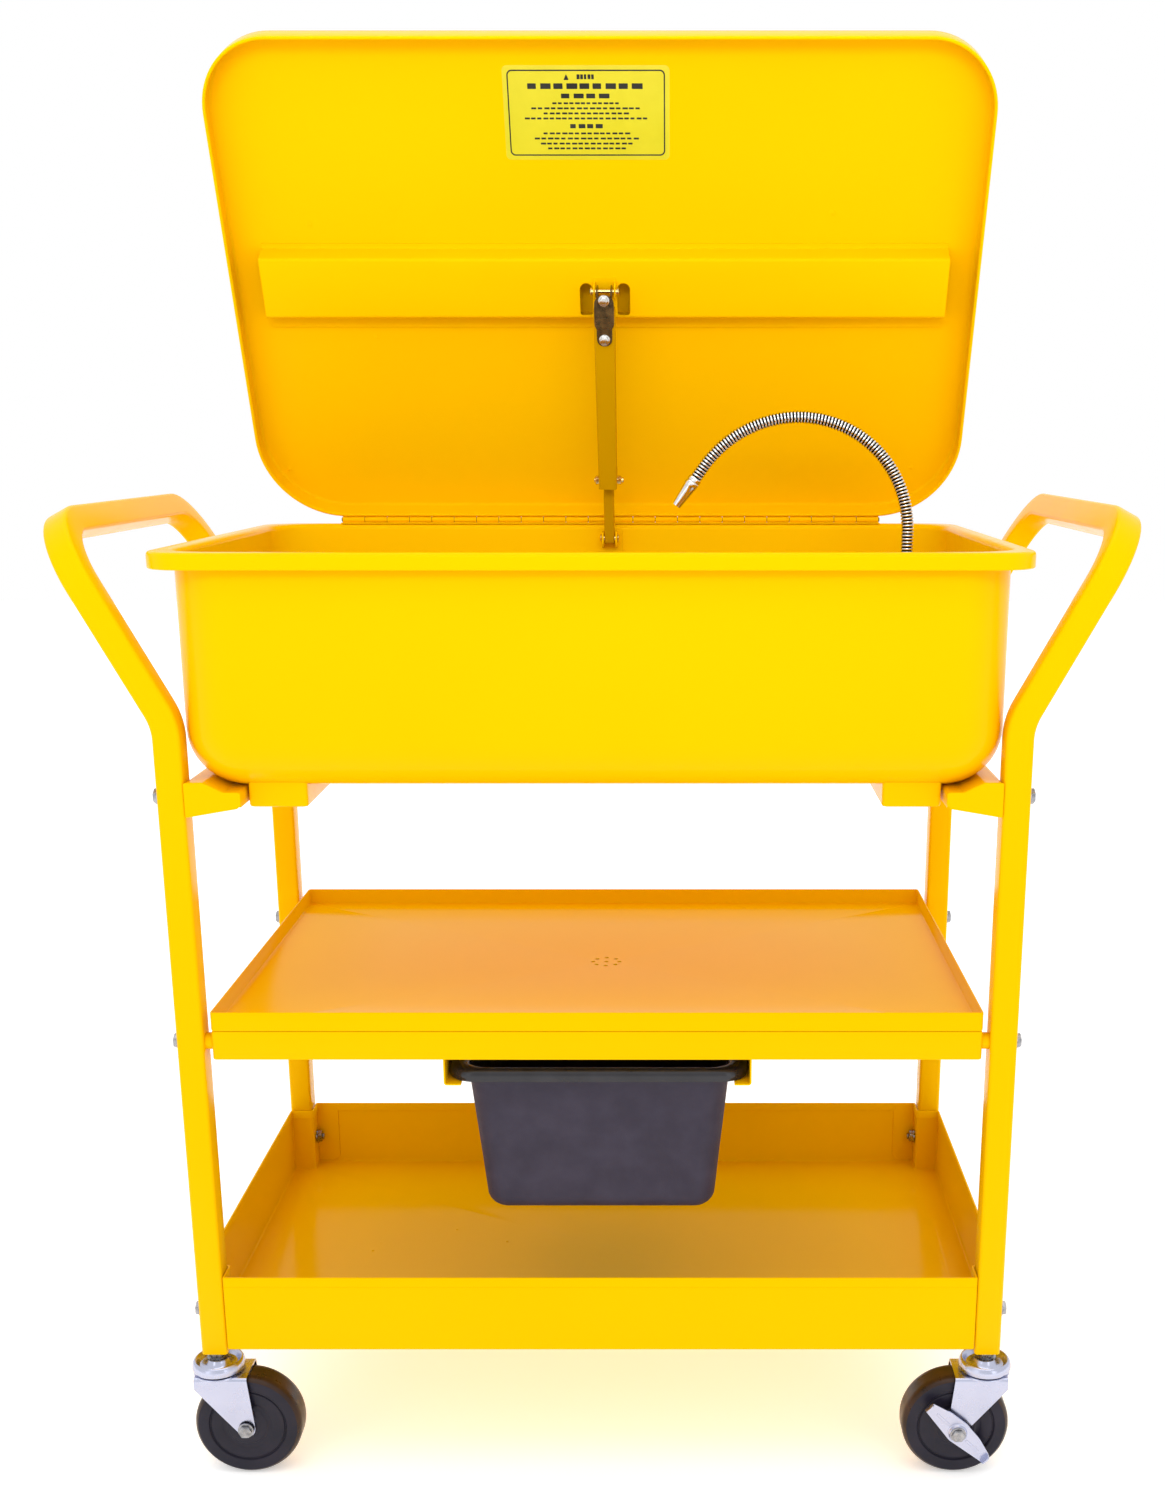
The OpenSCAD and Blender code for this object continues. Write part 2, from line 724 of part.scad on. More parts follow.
module spout_foot() {
  cart() color(zinc) translate([spout_x, spout_y, spout_z]) difference() {
    union() {
      rod_x(7.5, -9.2, 9.2);
      cylinder(r = 7.8, h = 22);
    }
    rod_x(pin_r + 0.06, -12, 12);
  }
}

module gooseneck() {
  straight = neck_top - spout_z - 22;
  cart() color(zinc) translate([spout_x, spout_y, spout_z + 22]) {
    cylinder(r = neck_r, h = straight + 0.05);
    translate([-neck_big, 0, straight]) rotate([90, 0, 0]) {
      rotate_extrude(angle = 90.05) translate([neck_big, 0]) circle(neck_r);
      translate([0, neck_big - neck_small, 0]) {
        rotate([0, 0, 90]) rotate_extrude(angle = neck_turn + 0.05) translate([neck_small, 0])
          circle(neck_r);
        rotate([0, 0, 90 + neck_turn]) translate([neck_small, 0, 0]) rotate([-90, 0, 0])
          cylinder(r = neck_r, h = neck_end);
      }
    }
  }
}

module spout_nozzle() {
  cart() color(zinc) translate([spout_x - neck_big, spout_y, neck_top]) rotate([90, 0, 0])
    translate([0, neck_big - neck_small, 0]) rotate([0, 0, 90 + neck_turn])
      translate([neck_small, neck_end, 0]) rotate([-90, 0, 0]) difference() {
        union() {
          cylinder(r = 7.4, h = 9);
          translate([0, 0, 9]) cylinder(r1 = 7, r2 = 4.6, h = nozzle_l - 9);
        }
        translate([0, 0, 9]) cylinder(r = 3.2, h = nozzle_l);
      }
}

// ---------- drain bin ----------

module bin_form(t, top) {
  hull() {
    translate([0, 0, bin_top - bin_h + bin_r]) for (x = [-1, 1], y = [-1, 1])
      translate([x * (112.8 - bin_r), y * (bin_d / 2 - 27 - bin_r), 0]) sphere(bin_r - t, $fn = 32);
    translate([0, 0, top]) linear_extrude(1) rrect(252.6 - 2 * t, bin_d - 27 - 2 * t, bin_r - t, $fn = 32);
  }
}

module drain_bin() {
  wall = 2.6;
  rim_h = 12;
  cart() color(black) translate([0, bin_y, 0]) difference() {
    union() {
      bin_form(0, bin_top - 3);
      translate([0, 0, bin_top - 3]) linear_extrude(3) rrect(bin_w, bin_d, 28);
      translate([0, 0, bin_top - rim_h]) linear_extrude(rim_h) difference() {
        rrect(bin_w, bin_d, 28);
        rrect(bin_w - 5, bin_d - 5, 25.5);
      }
    }
    bin_form(wall, bin_top + 1);
  }
}

// ---------- casters ----------

// Puts a caster drawn with its wheel towards +X under a leg; s gives the leg's side, f its end.
module caster_at(s, f) {
  cart() translate([s * leg_x, f * leg_y, 0]) mirror([s > 0 ? 1 : 0, 0, 0]) children();
}

module fork() {
  drop = crown_z - axle_z;
  side = fork_in + fork_t;
  difference() {
    union() {
      translate([0, 0, crown_z]) linear_extrude(2.6) {
        circle(25);
        translate([-8, -side]) square([39, 2 * side]);
      }
      for (y = [-side, fork_in]) translate([0, y + fork_t, axle_z]) rotate([90, 0, 0])
        linear_extrude(fork_t) {
          polygon([[-21, drop + 1], [-21, drop - 9], [trail - 7.9, -4.4], [trail, -9], [trail + 9, 0],
            [31, drop + 1]]);
          translate([trail, 0]) circle(9);
        }
    }
    translate([0, 0, crown_z - 1]) cylinder(r = 6.05, h = 5);
    translate([trail, 0, axle_z]) rod_y(axle_r + 0.05, -30, 30);
    translate([-30, -30, crown_z - 70]) cube([9, 60, 72]);
  }
}

// out moves the bolt's head away from the fork, to make room for a brake lever.
module axle(out = 0) {
  translate([trail, 0, axle_z]) {
    rod_y(axle_r, -26.5 - out, 26.5);
    hex_y(12, -28.6 - out, -24.4 - out);
    hex_y(12, fork_in + fork_t + 0.05, fork_in + fork_t + 5);
  }
}

// Half of the wheel's outline, as radius and distance from its middle plane.
function wheel_side(h, q = wheel_r / 50.8) = [[axle_r + 0.06, h + 2], [11, h + 2], [12.5, h + 0.2],
  [18 * q, h + 0.2], [19.5 * q, h - 1.5], [23.5 * q, h - 1.5], [25 * q, h - 0.8], [34.6 * q, h - 0.8],
  [35.2 * q, h - 2], [36.2 * q, h - 2], [36.8 * q, h], [46.5 * q, h], [47.8 * q, h - 0.5],
  [wheel_r - 0.8, h - 4], [wheel_r, h - 7.5]];

module wheel() {
  side = wheel_side(wheel_w / 2);
  last = len(side) - 1;
  translate([trail, 0, axle_z]) rotate([90, 0, 0]) rotate_extrude($fn = 96) polygon(
    concat(side, [for (i = [last:-1:0]) [side[i][0], -side[i][1]]]));
}

// Stamped two-winged lever on the axle's outer end, which locks the wheel when it is pressed down.
module brake() {
  wing = 41;
  y = -fork_in - fork_t - 6.5;
  translate([trail, y, axle_z]) rotate([0, -45, 0]) difference() {
    union() {
      translate([0, 1.6, 0]) rotate([90, 0, 0]) linear_extrude(1.6) polygon([[-wing, -6], [-wing, 5],
        [-20, 11], [0, 13], [20, 11], [wing, 5], [wing, -6], [20, -9], [0, -12], [-20, -9]]);
      rod_y(8.5, -3.2, 6.2);
      translate([-wing, -7.5, -6]) cube([1.6, 8.5, 11]);
      translate([wing - 1.6, -5, -6]) cube([1.6, 6, 11]);
    }
    rod_y(axle_r + 0.06, -9, 9);
  }
}

module fork_front_left() { caster_at(-1, -1) color(zinc) fork(); }
module fork_front_right() { caster_at(1, -1) color(zinc) fork(); }
module fork_rear_left() { caster_at(-1, 1) color(zinc) fork(); }
module fork_rear_right() { caster_at(1, 1) color(zinc) fork(); }
module axle_front_left() { caster_at(-1, -1) color(zinc) axle(); }
module axle_front_right() { caster_at(1, -1) color(zinc) axle(6.8); }
module axle_rear_left() { caster_at(-1, 1) color(zinc) axle(); }
module axle_rear_right() { caster_at(1, 1) color(zinc) axle(6.8); }
module wheel_front_left() { caster_at(-1, -1) color(black) wheel(); }
module wheel_front_right() { caster_at(1, -1) color(black) wheel(); }
module wheel_rear_left() { caster_at(-1, 1) color(black) wheel(); }
module wheel_rear_right() { caster_at(1, 1) color(black) wheel(); }
module brake_front_right() { caster_at(1, -1) color(zinc) brake(); }
module brake_rear_right() { caster_at(1, 1) color(zinc) brake(); }

end_frame_left();
end_frame_right();
leg_inserts();
caster_stems();
stem_nuts();
tank_supports();
tank_feet();
bottom_tray();
shelf_frame();
drain_shelf();
shelf_spacers();
bin_rails();
frame_bolts();
frame_nuts();
tank();
drain_plug();
hinge_tank_leaf();
hinge_pin();
stay_base_bracket();
stay_base_pin();
pump_body();
pump_strainer();
spout_base();
spout_pin();
switch_box();
cable_gland();
work_shelf();
lid_panel();
lid_stiffener();
lid_label();
hinge_lid_leaf();
stay_clevis();
stay_top_pin();
stay_arm();
stay_fuse_link();
stay_fuse_bolts();
stay_knee_bolt();
stay_link();
spout_foot();
gooseneck();
spout_nozzle();
drain_bin();
switch_rocker();
fork_front_left();
fork_front_right();
fork_rear_left();
fork_rear_right();
axle_front_left();
axle_front_right();
axle_rear_left();
axle_rear_right();
wheel_front_left();
wheel_front_right();
wheel_rear_left();
wheel_rear_right();
brake_front_right();
brake_rear_right();
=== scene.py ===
"""Looks for the parts washer tank on its wheeled cart. Metres, +Z up, the front faces -Y."""
import bpy
import bmesh
from math import atan2, cos, hypot, pi, radians, sin, sqrt, tan
from mathutils import Matrix, Vector


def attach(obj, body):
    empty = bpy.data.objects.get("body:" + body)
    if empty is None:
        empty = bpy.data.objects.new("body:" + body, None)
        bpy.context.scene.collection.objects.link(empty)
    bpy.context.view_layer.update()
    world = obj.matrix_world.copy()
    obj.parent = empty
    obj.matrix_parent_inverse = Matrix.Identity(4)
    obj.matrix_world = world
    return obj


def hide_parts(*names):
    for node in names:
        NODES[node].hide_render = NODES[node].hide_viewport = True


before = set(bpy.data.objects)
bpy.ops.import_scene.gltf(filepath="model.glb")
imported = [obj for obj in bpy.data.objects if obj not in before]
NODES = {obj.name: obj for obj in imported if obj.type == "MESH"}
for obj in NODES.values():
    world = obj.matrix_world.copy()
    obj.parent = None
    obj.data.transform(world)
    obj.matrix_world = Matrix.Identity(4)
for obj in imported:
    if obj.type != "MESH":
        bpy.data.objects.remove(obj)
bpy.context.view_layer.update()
MM = 0.001
CART_Y = -11.0          # the cart's middle, mm; every length below is in mm until a mesh is made
LIFT = Matrix.Translation((0, 0, 5.5 * MM))     # heights below are from the cart's own datum, 5.5 mm up


def link(ob):
    bpy.context.scene.collection.objects.link(ob)


# ---------------------------------------------------------------- camera
CAMERA_PITCH = 15.3876  # degrees below the horizon
cam_data = bpy.data.cameras.new("camera")
cam_data.sensor_fit = "VERTICAL"
cam_data.sensor_height = 36.0
cam_data.lens = 40.88232
cam_data.shift_x = -0.061933
cam_data.shift_y = 0.101707
cam_data.clip_end = 50.0
camera = bpy.data.objects.new("camera", cam_data)
camera.location = LIFT @ Vector((0.07375, -1.7467, 1.00621))
camera.rotation_euler = (radians(90 - CAMERA_PITCH), 0, 0)
link(camera)
bpy.context.scene.camera = camera


# ---------------------------------------------------------------- materials
def fill(node, values):
    for key, value in values.items():
        node.inputs[key].default_value = value


def new_mat(name, color, metallic=0.0, rough=0.4, coat=0.0, coat_rough=0.1, spec=0.5):
    m = bpy.data.materials.new(name)
    m.use_nodes = True
    fill(bsdf(m), {"Base Color": (*color, 1), "Metallic": metallic, "Roughness": rough,
        "Coat Weight": coat, "Coat Roughness": coat_rough, "Specular IOR Level": spec})
    return m


def bsdf(m):
    return m.node_tree.nodes["Principled BSDF"]


def wire(m, out, socket):
    m.node_tree.links.new(out, socket)


def coords(m, scale=(1, 1, 1)):
    tc = m.node_tree.nodes.new("ShaderNodeTexCoord")
    mp = m.node_tree.nodes.new("ShaderNodeMapping")
    fill(mp, {"Scale": scale})
    wire(m, tc.outputs["Object"], mp.inputs["Vector"])
    return mp.outputs["Vector"]


def noise(m, scale, detail=3.0, rough=0.5, stretch=(1, 1, 1)):
    n = m.node_tree.nodes.new("ShaderNodeTexNoise")
    fill(n, {"Scale": scale, "Detail": detail, "Roughness": rough})
    wire(m, coords(m, stretch), n.inputs["Vector"])
    return n.outputs["Fac"]


def ramp(m, fac, stops):
    r = m.node_tree.nodes.new("ShaderNodeValToRGB")
    for element, (pos, col) in zip(r.color_ramp.elements, stops):
        element.position = pos
        element.color = (*col, 1)
    wire(m, fac, r.inputs["Fac"])
    return r.outputs["Color"]


def span(m, fac, lo, hi):
    """Maps the middle of a noise, 0.3 to 0.7, to lo to hi."""
    r = m.node_tree.nodes.new("ShaderNodeMapRange")
    fill(r, {"From Min": 0.3, "From Max": 0.7, "To Min": lo, "To Max": hi})
    wire(m, fac, r.inputs["Value"])
    return r.outputs["Result"]


def bump(m, height, strength, distance, below=None):
    b = m.node_tree.nodes.new("ShaderNodeBump")
    fill(b, {"Strength": strength, "Distance": distance})
    wire(m, height, b.inputs["Height"])
    if below is not None:
        wire(m, below, b.inputs["Normal"])
    return b.outputs["Normal"]


def plug(m, out, socket):
    wire(m, out, bsdf(m).inputs[socket])


def powder(name, color, dark, rough=0.22, spec=0.09):
    """Gloss powder coat: orange peel, very soft waves in the sheet and faint uneven colour."""
    m = new_mat(name, color, rough=rough, spec=spec)
    fill(bsdf(m), {"Specular Tint": (1.0, 0.78, 0.08, 1)})
    plug(m, ramp(m, noise(m, 4.0, 3), [(0.3, dark), (0.65, color)]), "Base Color")
    plug(m, span(m, noise(m, 45.0, 3), rough - 0.02, rough + 0.03), "Roughness")
    wave = bump(m, noise(m, 5.0, 1), 0.10, 0.0010)
    peel = bump(m, noise(m, 420.0, 2), 0.05, 0.0002, wave)
    plug(m, peel, "Normal")
    return m


def metal(name, color, dark, rough, scale=240.0, stretch=(1, 1, 1), depth=0.0002, amount=0.12):
    m = new_mat(name, color, metallic=1.0, rough=rough)
    plug(m, ramp(m, noise(m, scale * 0.3, 4), [(0.3, dark), (0.65, color)]), "Base Color")
    plug(m, span(m, noise(m, scale, 3, stretch=stretch), rough - 0.08, rough + 0.1), "Roughness")
    plug(m, bump(m, noise(m, scale * 2, 2, stretch=stretch), amount, depth), "Normal")
    return m


def plastic(name, color, light, rough, grain, depth, amount=0.5, coat=0.0):
    m = new_mat(name, color, rough=rough, coat=coat, spec=0.25)
    plug(m, ramp(m, noise(m, 40.0, 4), [(0.35, color), (0.7, light)]), "Base Color")
    plug(m, span(m, noise(m, 90.0, 3), rough - 0.04, rough + 0.08), "Roughness")
    plug(m, bump(m, noise(m, grain, 3, 0.6), amount, depth), "Normal")
    return m


GOLD = (0.92, 0.515, 0.0)
YELLOW = powder("yellow_powder_coat", GOLD, (0.905, 0.503, 0.0))
GLOSS = powder("yellow_gloss_coat", GOLD, (0.905, 0.503, 0.0), 0.12, 0.05)
# a darker copy of the yellow coat for the stay arm and link: painted shade on the stay, not a second paint
SHADED_GOLD = powder("stay_painted_shade_coat", (0.56, 0.29, 0.0), (0.50, 0.26, 0.0), 0.2)
ZINC = metal("bright_zinc", (0.52, 0.54, 0.68), (0.47, 0.49, 0.62), 0.24, 70.0, amount=0.03)
ZINC_BOLT = metal("zinc_bolt", (0.40, 0.40, 0.42), (0.22, 0.22, 0.23), 0.24, 600.0)
CHROME = metal("chrome_hose", (0.80, 0.79, 0.76), (0.66, 0.65, 0.62), 0.1, 900.0, amount=0.03)
BRIGHT = metal("bright_bolt", (0.62, 0.61, 0.58), (0.40, 0.39, 0.36), 0.16, 600.0, amount=0.05)
PASSIVE = metal("yellow_passivated", (0.82, 0.66, 0.28), (0.62, 0.48, 0.18), 0.2, 500.0, amount=0.05)
# near-black metal: painted shade in the neck's grooves and in the gaps between the hinge knuckles
GAP_SHADE_METAL = metal("painted_gap_shade", (0.018, 0.018, 0.016), (0.01, 0.01, 0.009), 0.25, 900.0)
BRASS = metal("fuse_plate", (0.13, 0.085, 0.035), (0.05, 0.035, 0.018), 0.3, 500.0)
ALLOY = metal("cast_alloy", (0.55, 0.56, 0.58), (0.42, 0.43, 0.45), 0.45, 700.0, depth=0.0004, amount=0.3)
STEEL = metal("plain_sheet", (0.62, 0.62, 0.64), (0.5, 0.5, 0.52), 0.35, 300.0, (1, 12, 12))
BLACK = plastic("black_moulded", (0.013, 0.013, 0.015), (0.03, 0.03, 0.033), 0.42, 1400.0, 0.0004)
BIN = plastic("bin_grain", (0.030, 0.024, 0.042), (0.039, 0.032, 0.054), 0.5, 1300.0, 0.0004, 0.45)
BIN_GLOSS = plastic("bin_gloss", (0.012, 0.011, 0.014), (0.02, 0.019, 0.024), 0.16, 500.0, 0.0002, 0.1, 0.4)
RUBBER = plastic("wheel_face", (0.010, 0.009, 0.018), (0.017, 0.014, 0.026), 0.34, 900.0, 0.0002, 0.2)
TREAD = plastic("wheel_tread", (0.020, 0.009, 0.005), (0.045, 0.020, 0.009), 0.3, 300.0, 0.0004, 0.3)
RED = plastic("red_rocker", (0.45, 0.015, 0.012), (0.55, 0.03, 0.02), 0.25, 800.0, 0.0002, 0.1, 0.4)
LABEL = plastic("label_film", (0.62, 0.56, 0.015), (0.66, 0.60, 0.02), 0.4, 300.0, 0.0002, 0.05)
INK = plastic("label_ink", (0.012, 0.012, 0.010), (0.03, 0.03, 0.022), 0.5, 900.0, 0.0002, 0.1)


# ---------------------------------------------------------------- mesh helpers (mm)
def piece(name, shape, stands_for=(), angle=35, body="cart", slot="yellow_paint", mat=YELLOW,
          face_mats=None, matrix=None):
    """A finished piece from (points, faces) in mm: smoothed by angle, riding on a body."""
    verts, faces = shape
    me = bpy.data.meshes.new(name)
    me.from_pydata([tuple(c * MM for c in v) for v in verts], [], faces)
    for m in (mat if isinstance(mat, (list, tuple)) else [mat]):
        me.materials.append(m)
    if face_mats:
        me.polygons.foreach_set("material_index", face_mats)
    return dress(me, name, body, stands_for, angle, matrix)


def dress(me, name, body, stands_for=(), angle=35, matrix=None):
    me.transform(LIFT if matrix is None else LIFT @ matrix)
    bm = bmesh.new()
    bm.from_mesh(me)
    bmesh.ops.remove_doubles(bm, verts=bm.verts, dist=2e-6)
    bmesh.ops.dissolve_degenerate(bm, dist=1e-6, edges=bm.edges)
    bmesh.ops.recalc_face_normals(bm, faces=bm.faces)
    bm.to_mesh(me)
    bm.free()
    smooth(me, angle)
    return placed(me, name, body, stands_for)


def smooth(me, angle):
    me.polygons.foreach_set("use_smooth", [True] * len(me.polygons))
    me.set_sharp_from_angle(angle=radians(angle))


def placed(me, name, body, stands_for):
    """Puts a mesh in the scene on its body, in the place of CAD nodes."""
    ob = bpy.data.objects.new(name, me)
    link(ob)
    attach(ob, body)
    if stands_for:
        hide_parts(*stands_for)
    return ob


def shift(pts, dx=0.0, dy=0.0):
    return [(x + dx, y + dy, z) for x, y, z in pts]


def arc2(cx, cy, r, a0, a1, n):
    """n + 1 points of a flat arc, in degrees."""
    return [(cx + r * cos(radians(a0 + (a1 - a0) * k / n)), cy + r * sin(radians(a0 + (a1 - a0) * k / n)))
        for k in range(n + 1)]


def rrect(x0, x1, y0, y1, radii, n=12):
    """Outline of a rounded rectangle, anticlockwise. Radii run anticlockwise from the front left."""
    r0, r1, r2, r3 = radii if isinstance(radii, (tuple, list)) else (radii,) * 4
    return (arc2(x1 - r1, y0 + r1, r1, -90, 0, n) + arc2(x1 - r2, y1 - r2, r2, 0, 90, n)
        + arc2(x0 + r3, y1 - r3, r3, 90, 180, n) + arc2(x0 + r0, y0 + r0, r0, 180, 270, n))


def at(ring2, z):
    return [(x, y, z) for x, y in ring2]


def loft(rings, caps=(True, True), closed=False):
    """Quads between rings of equal length, with flat ends."""
    verts = [p for r in rings for p in r]
    n = len(rings[0])
    m = len(rings)
    faces = []
    for i in range(m if closed else m - 1):
        j = (i + 1) % m
        for k in range(n):
            q = (k + 1) % n
            faces.append((i * n + k, i * n + q, j * n + q, j * n + k))
    if not closed and caps[0]:
        faces.append(tuple(range(n))[::-1])
    if not closed and caps[1]:
        faces.append(tuple((m - 1) * n + k for k in range(n)))
    return verts, faces


def join(*parts):
    verts, faces = [], []
    for v, f in parts:
        o = len(verts)
        verts += v
        faces += [tuple(i + o for i in q) for q in f]
    return verts, faces


def lathe(profile, n=64, axis="z", centre=(0, 0, 0)):
    """A turned body from (radius, height) points; a radius of 0 closes on the axis."""
    rings = []
    for r, h in profile:
        ring = []
        for k in range(n):
            a = 2 * pi * k / n
            c, s = r * cos(a), r * sin(a)
            p = {"z": (c, s, h), "y": (s, h, c), "x": (h, c, s)}[axis]
            ring.append((p[0] + centre[0], p[1] + centre[1], p[2] + centre[2]))
        rings.append(ring)
    return loft(rings, (profile[0][0] > 0, profile[-1][0] > 0))


def rounded_profile(pts, r, n=4, closed=False):
    """A flat polyline with its corners rounded to radius r, or to each corner's own radius."""
    out = []
    m = len(pts)
    for i in range(m):
        if not closed and i in (0, m - 1):
            out.append(pts[i])
            continue
        p, a, b = Vector(pts[i]), Vector(pts[i - 1]), Vector(pts[(i + 1) % m])
        ri = r[i] if isinstance(r, (list, tuple)) else r
        u, v = (a - p).normalized(), (b - p).normalized()
        half = u.angle(v) / 2
        if ri <= 0 or abs(half - pi / 2) < 1e-3:
            out.append(tuple(p))
            continue
        d = min(ri / tan(half), (a - p).length * 0.49, (b - p).length * 0.49)
        ri = d * tan(half)
        c = p + (u + v).normalized() * (ri / sin(half))
        s, e = p + u * d - c, p + v * d - c
        turn = s.angle(e)
        sign = 1 if s.x * e.y - s.y * e.x > 0 else -1
        for k in range(n + 1):
            t = sign * turn * k / n
            out.append((c.x + s.x * cos(t) - s.y * sin(t), c.y + s.x * sin(t) + s.y * cos(t)))
    return out


def soft(pts, r, n):
    """A closed outline with its corners rounded."""
    return rounded_profile(pts, r, n, True)


def sheet_section(pts, t, r, n=4):
    """Outline of a bent sheet of thickness t whose middle line runs through pts, bent at radius r."""
    mid = rounded_profile(pts, r, n)
    left, right = [], []
    for i, p in enumerate(mid):
        a = Vector(mid[max(i - 1, 0)])
        b = Vector(mid[min(i + 1, len(mid) - 1)])
        d = (b - a).normalized()
        nrm = Vector((-d.y, d.x)) * (t / 2)
        left.append((p[0] + nrm.x, p[1] + nrm.y))
        right.append((p[0] - nrm.x, p[1] - nrm.y))
    return left + right[::-1]


def along_x(u, z, w):
    return w, u, z


def along_y(u, z, w):
    return u, w, z


def prism(section, place, lo, hi):
    """Extrudes a flat outline from lo to hi; place turns (u, v, w) into x, y, z."""
    return loft([[place(u, v, w) for u, v in section] for w in (lo, hi)])


def sweep(path, section, up):
    """Sweeps a flat outline along a path, carrying its direction without twist."""
    pts = [Vector(p) for p in path]
    rings = []
    side = Vector(up)
    last = None
    for i, p in enumerate(pts):
        d = (pts[min(i + 1, len(pts) - 1)] - pts[max(i - 1, 0)]).normalized()
        if last is not None:
            side = last.rotation_difference(d) @ side
        side = (side - d * side.dot(d)).normalized()
        other = d.cross(side)
        rings.append([tuple(p + side * u + other * v) for u, v in section])
        last = d
    return rings


def bevelled(node, width, body, slot, mat):
    """A finer copy of a CAD node: flat faces merged, edges rounded by width mm. It stands for the node."""
    me = NODES[node].data.copy()
    me.materials.clear()
    me.materials.append(mat)
    bm = bmesh.new()
    bm.from_mesh(me)
    bmesh.ops.remove_doubles(bm, verts=bm.verts, dist=2e-6)
    bmesh.ops.dissolve_limit(bm, angle_limit=radians(0.6), verts=bm.verts, edges=bm.edges)
    edges = [e for e in bm.edges if len(e.link_faces) == 2 and e.calc_face_angle(0) > radians(32)]
    bmesh.ops.bevel(bm, geom=edges, offset=width * MM, offset_type="OFFSET", segments=3, profile=0.5,
        affect="EDGES", clamp_overlap=True, harden_normals=False)
    for f in bm.faces:
        f.material_index = 0
    bm.to_mesh(me)
    bm.free()
    smooth(me, 35)
    return placed(me, node + "_piece", body, (node,))


# ---------------------------------------------------------------- tank
RIM_W, RIM_D, RIM_Z, TUB_Z = 780.0, 504.0, 908.0, 694.0


def tank():
    def ring(d, z, r):
        return shift(at(rrect(-RIM_W / 2 + d, RIM_W / 2 - d, -RIM_D / 2 + d, RIM_D / 2 - d, r, 14), z),
            dy=CART_Y)
    wall, corner, lip = 16, 54, 6.5     # wall's distance inside the rim, tub's corner radius, rim's edge
    rings = []
    for k in range(13):             # outside, from the flat bottom up
        a = radians(90 - 90 * k / 12)
        rings.append(ring(wall + corner * (1 - cos(a)), TUB_Z + corner * (1 - sin(a)),
            (corner - 0.5) * cos(a) + 0.5))
    rings.append(ring(wall, 903.2, corner))
    for k in range(1, 5):
        a = radians(90 * k / 4)
        rings.append(ring(wall - 3.6 * (1 - cos(a)), 903.2 + 3.6 * sin(a), corner + 3.6 * (1 - cos(a))))
    for d, z, r in ((3.4, 906.8, 36.6), (2.0, 906.3, 38), (1.3, 905, 38.7), (1.3, 896, 38.7),
            (2.6, 895.4, 37.4), (2.8, 894.2, 37.2), (2.0, 893.2, 38), (0.9, 893.0, 39.1),
            (0.1, 893.7, 39.9), (0, 895, 40), (0, 904.2, 40), (0.35, 905.8, 39.65), (1.2, 907.1, 38.8),
            (2.4, 907.8, 37.6), (4, 908, 36)):
        rings.append(ring(d, z, r))
    for k in range(7):              # over the rim's soft inner edge
        a = radians(90 - 90 * k / 6)
        inset = lip * (1 - cos(a))
        rings.append(ring(17.2 - inset, RIM_Z - lip * (1 - sin(a)), 52.8 + inset))
    for k in range(13):             # inside, down to the floor
        a = radians(90 * k / 12)
        rings.append(ring(17.2 + 52.8 * (1 - cos(a)), TUB_Z + corner - 52.8 * sin(a), 52.3 * cos(a) + 0.5))
    piece("tank_pressed", loft(rings), ("tank",), 40)


# ---------------------------------------------------------------- lid, drawn closed and swung open
HINGE = (250.5, 912.0)
PIVOT = Matrix.Translation((0, (HINGE[0] + CART_Y) * MM, HINGE[1] * MM))
LID_ANGLE = -67             # degrees; how far the lid stands open
OPEN = PIVOT @ Matrix.Rotation(radians(LID_ANGLE), 4, "X") @ PIVOT.inverted()
LID_EDGE, LID_TOP, LID_BACK, LID_FRONT = 909.6, 939.6, 246.0, -250.5
LID_RF, LID_RB = 70.0, 92.0
HAT_BASE, HAT_H = LID_TOP - 1.2, 24.0
ON_LID = {"body": "lid", "matrix": OPEN}


def from_hinge(s):
    return HINGE[0] - s + CART_Y


def lid():
    def ring(d, z):
        return shift(at(rrect(-390 + d, 390 - d, LID_FRONT + d, LID_BACK - d,
            (LID_RF - d, LID_RF - d, LID_RB - d, LID_RB - d), 20), z), dy=CART_Y)
    rings = [ring(d, z) for d, z in ((40, LID_TOP), (4.2, LID_TOP), (2.6, LID_TOP - 0.35),
        (1.3, LID_TOP - 1.2), (0.4, LID_TOP - 2.5), (0, LID_TOP - 4.2), (0, LID_EDGE + 1.6),
        (0.3, LID_EDGE + 0.6), (1.1, LID_EDGE), (2.2, LID_EDGE), (3.1, LID_EDGE + 0.6),
        (3.4, LID_EDGE + 1.6), (3.1, LID_EDGE + 6.2), (2.2, LID_EDGE + 6.8), (1.25, LID_EDGE + 7.0),
        (1.2, LID_TOP - 5.0), (1.7, LID_TOP - 3.1), (2.8, LID_TOP - 1.7), (4.6, LID_TOP - 1.2),
        (40, LID_TOP - 1.2))]
    piece("lid_pressed", loft(rings), ("lid_panel",), 40, **ON_LID)
    # pressed-in dimples left by spot welds on the panel's inner face
    parts = []
    for x, s in ((-248, 201), (-363, 49), (340, 52), (236, 330), (-305, 318)):
        parts.append(lathe([(0, -0.55), (1.4, -0.45), (2.6, -0.1), (3.2, 0.05)], 20,
            centre=(x, from_hinge(s), HAT_BASE)))
    piece("lid_weld_marks", join(*parts), (), 60, **ON_LID)


def cut_with(ob, cutters):
    """Cuts closed meshes out of a piece, for good."""
    for c in cutters:
        mod = ob.modifiers.new("cut", "BOOLEAN")
        mod.operation = "DIFFERENCE"
        mod.solver = "EXACT"
        mod.object = c
    dg = bpy.context.evaluated_depsgraph_get()
    me = bpy.data.meshes.new_from_object(ob.evaluated_get(dg))
    ob.modifiers.clear()
    old = ob.data
    ob.data = me
    bpy.data.meshes.remove(old)
    for c in cutters:
        bpy.data.objects.remove(c)
    smooth(me, 35)


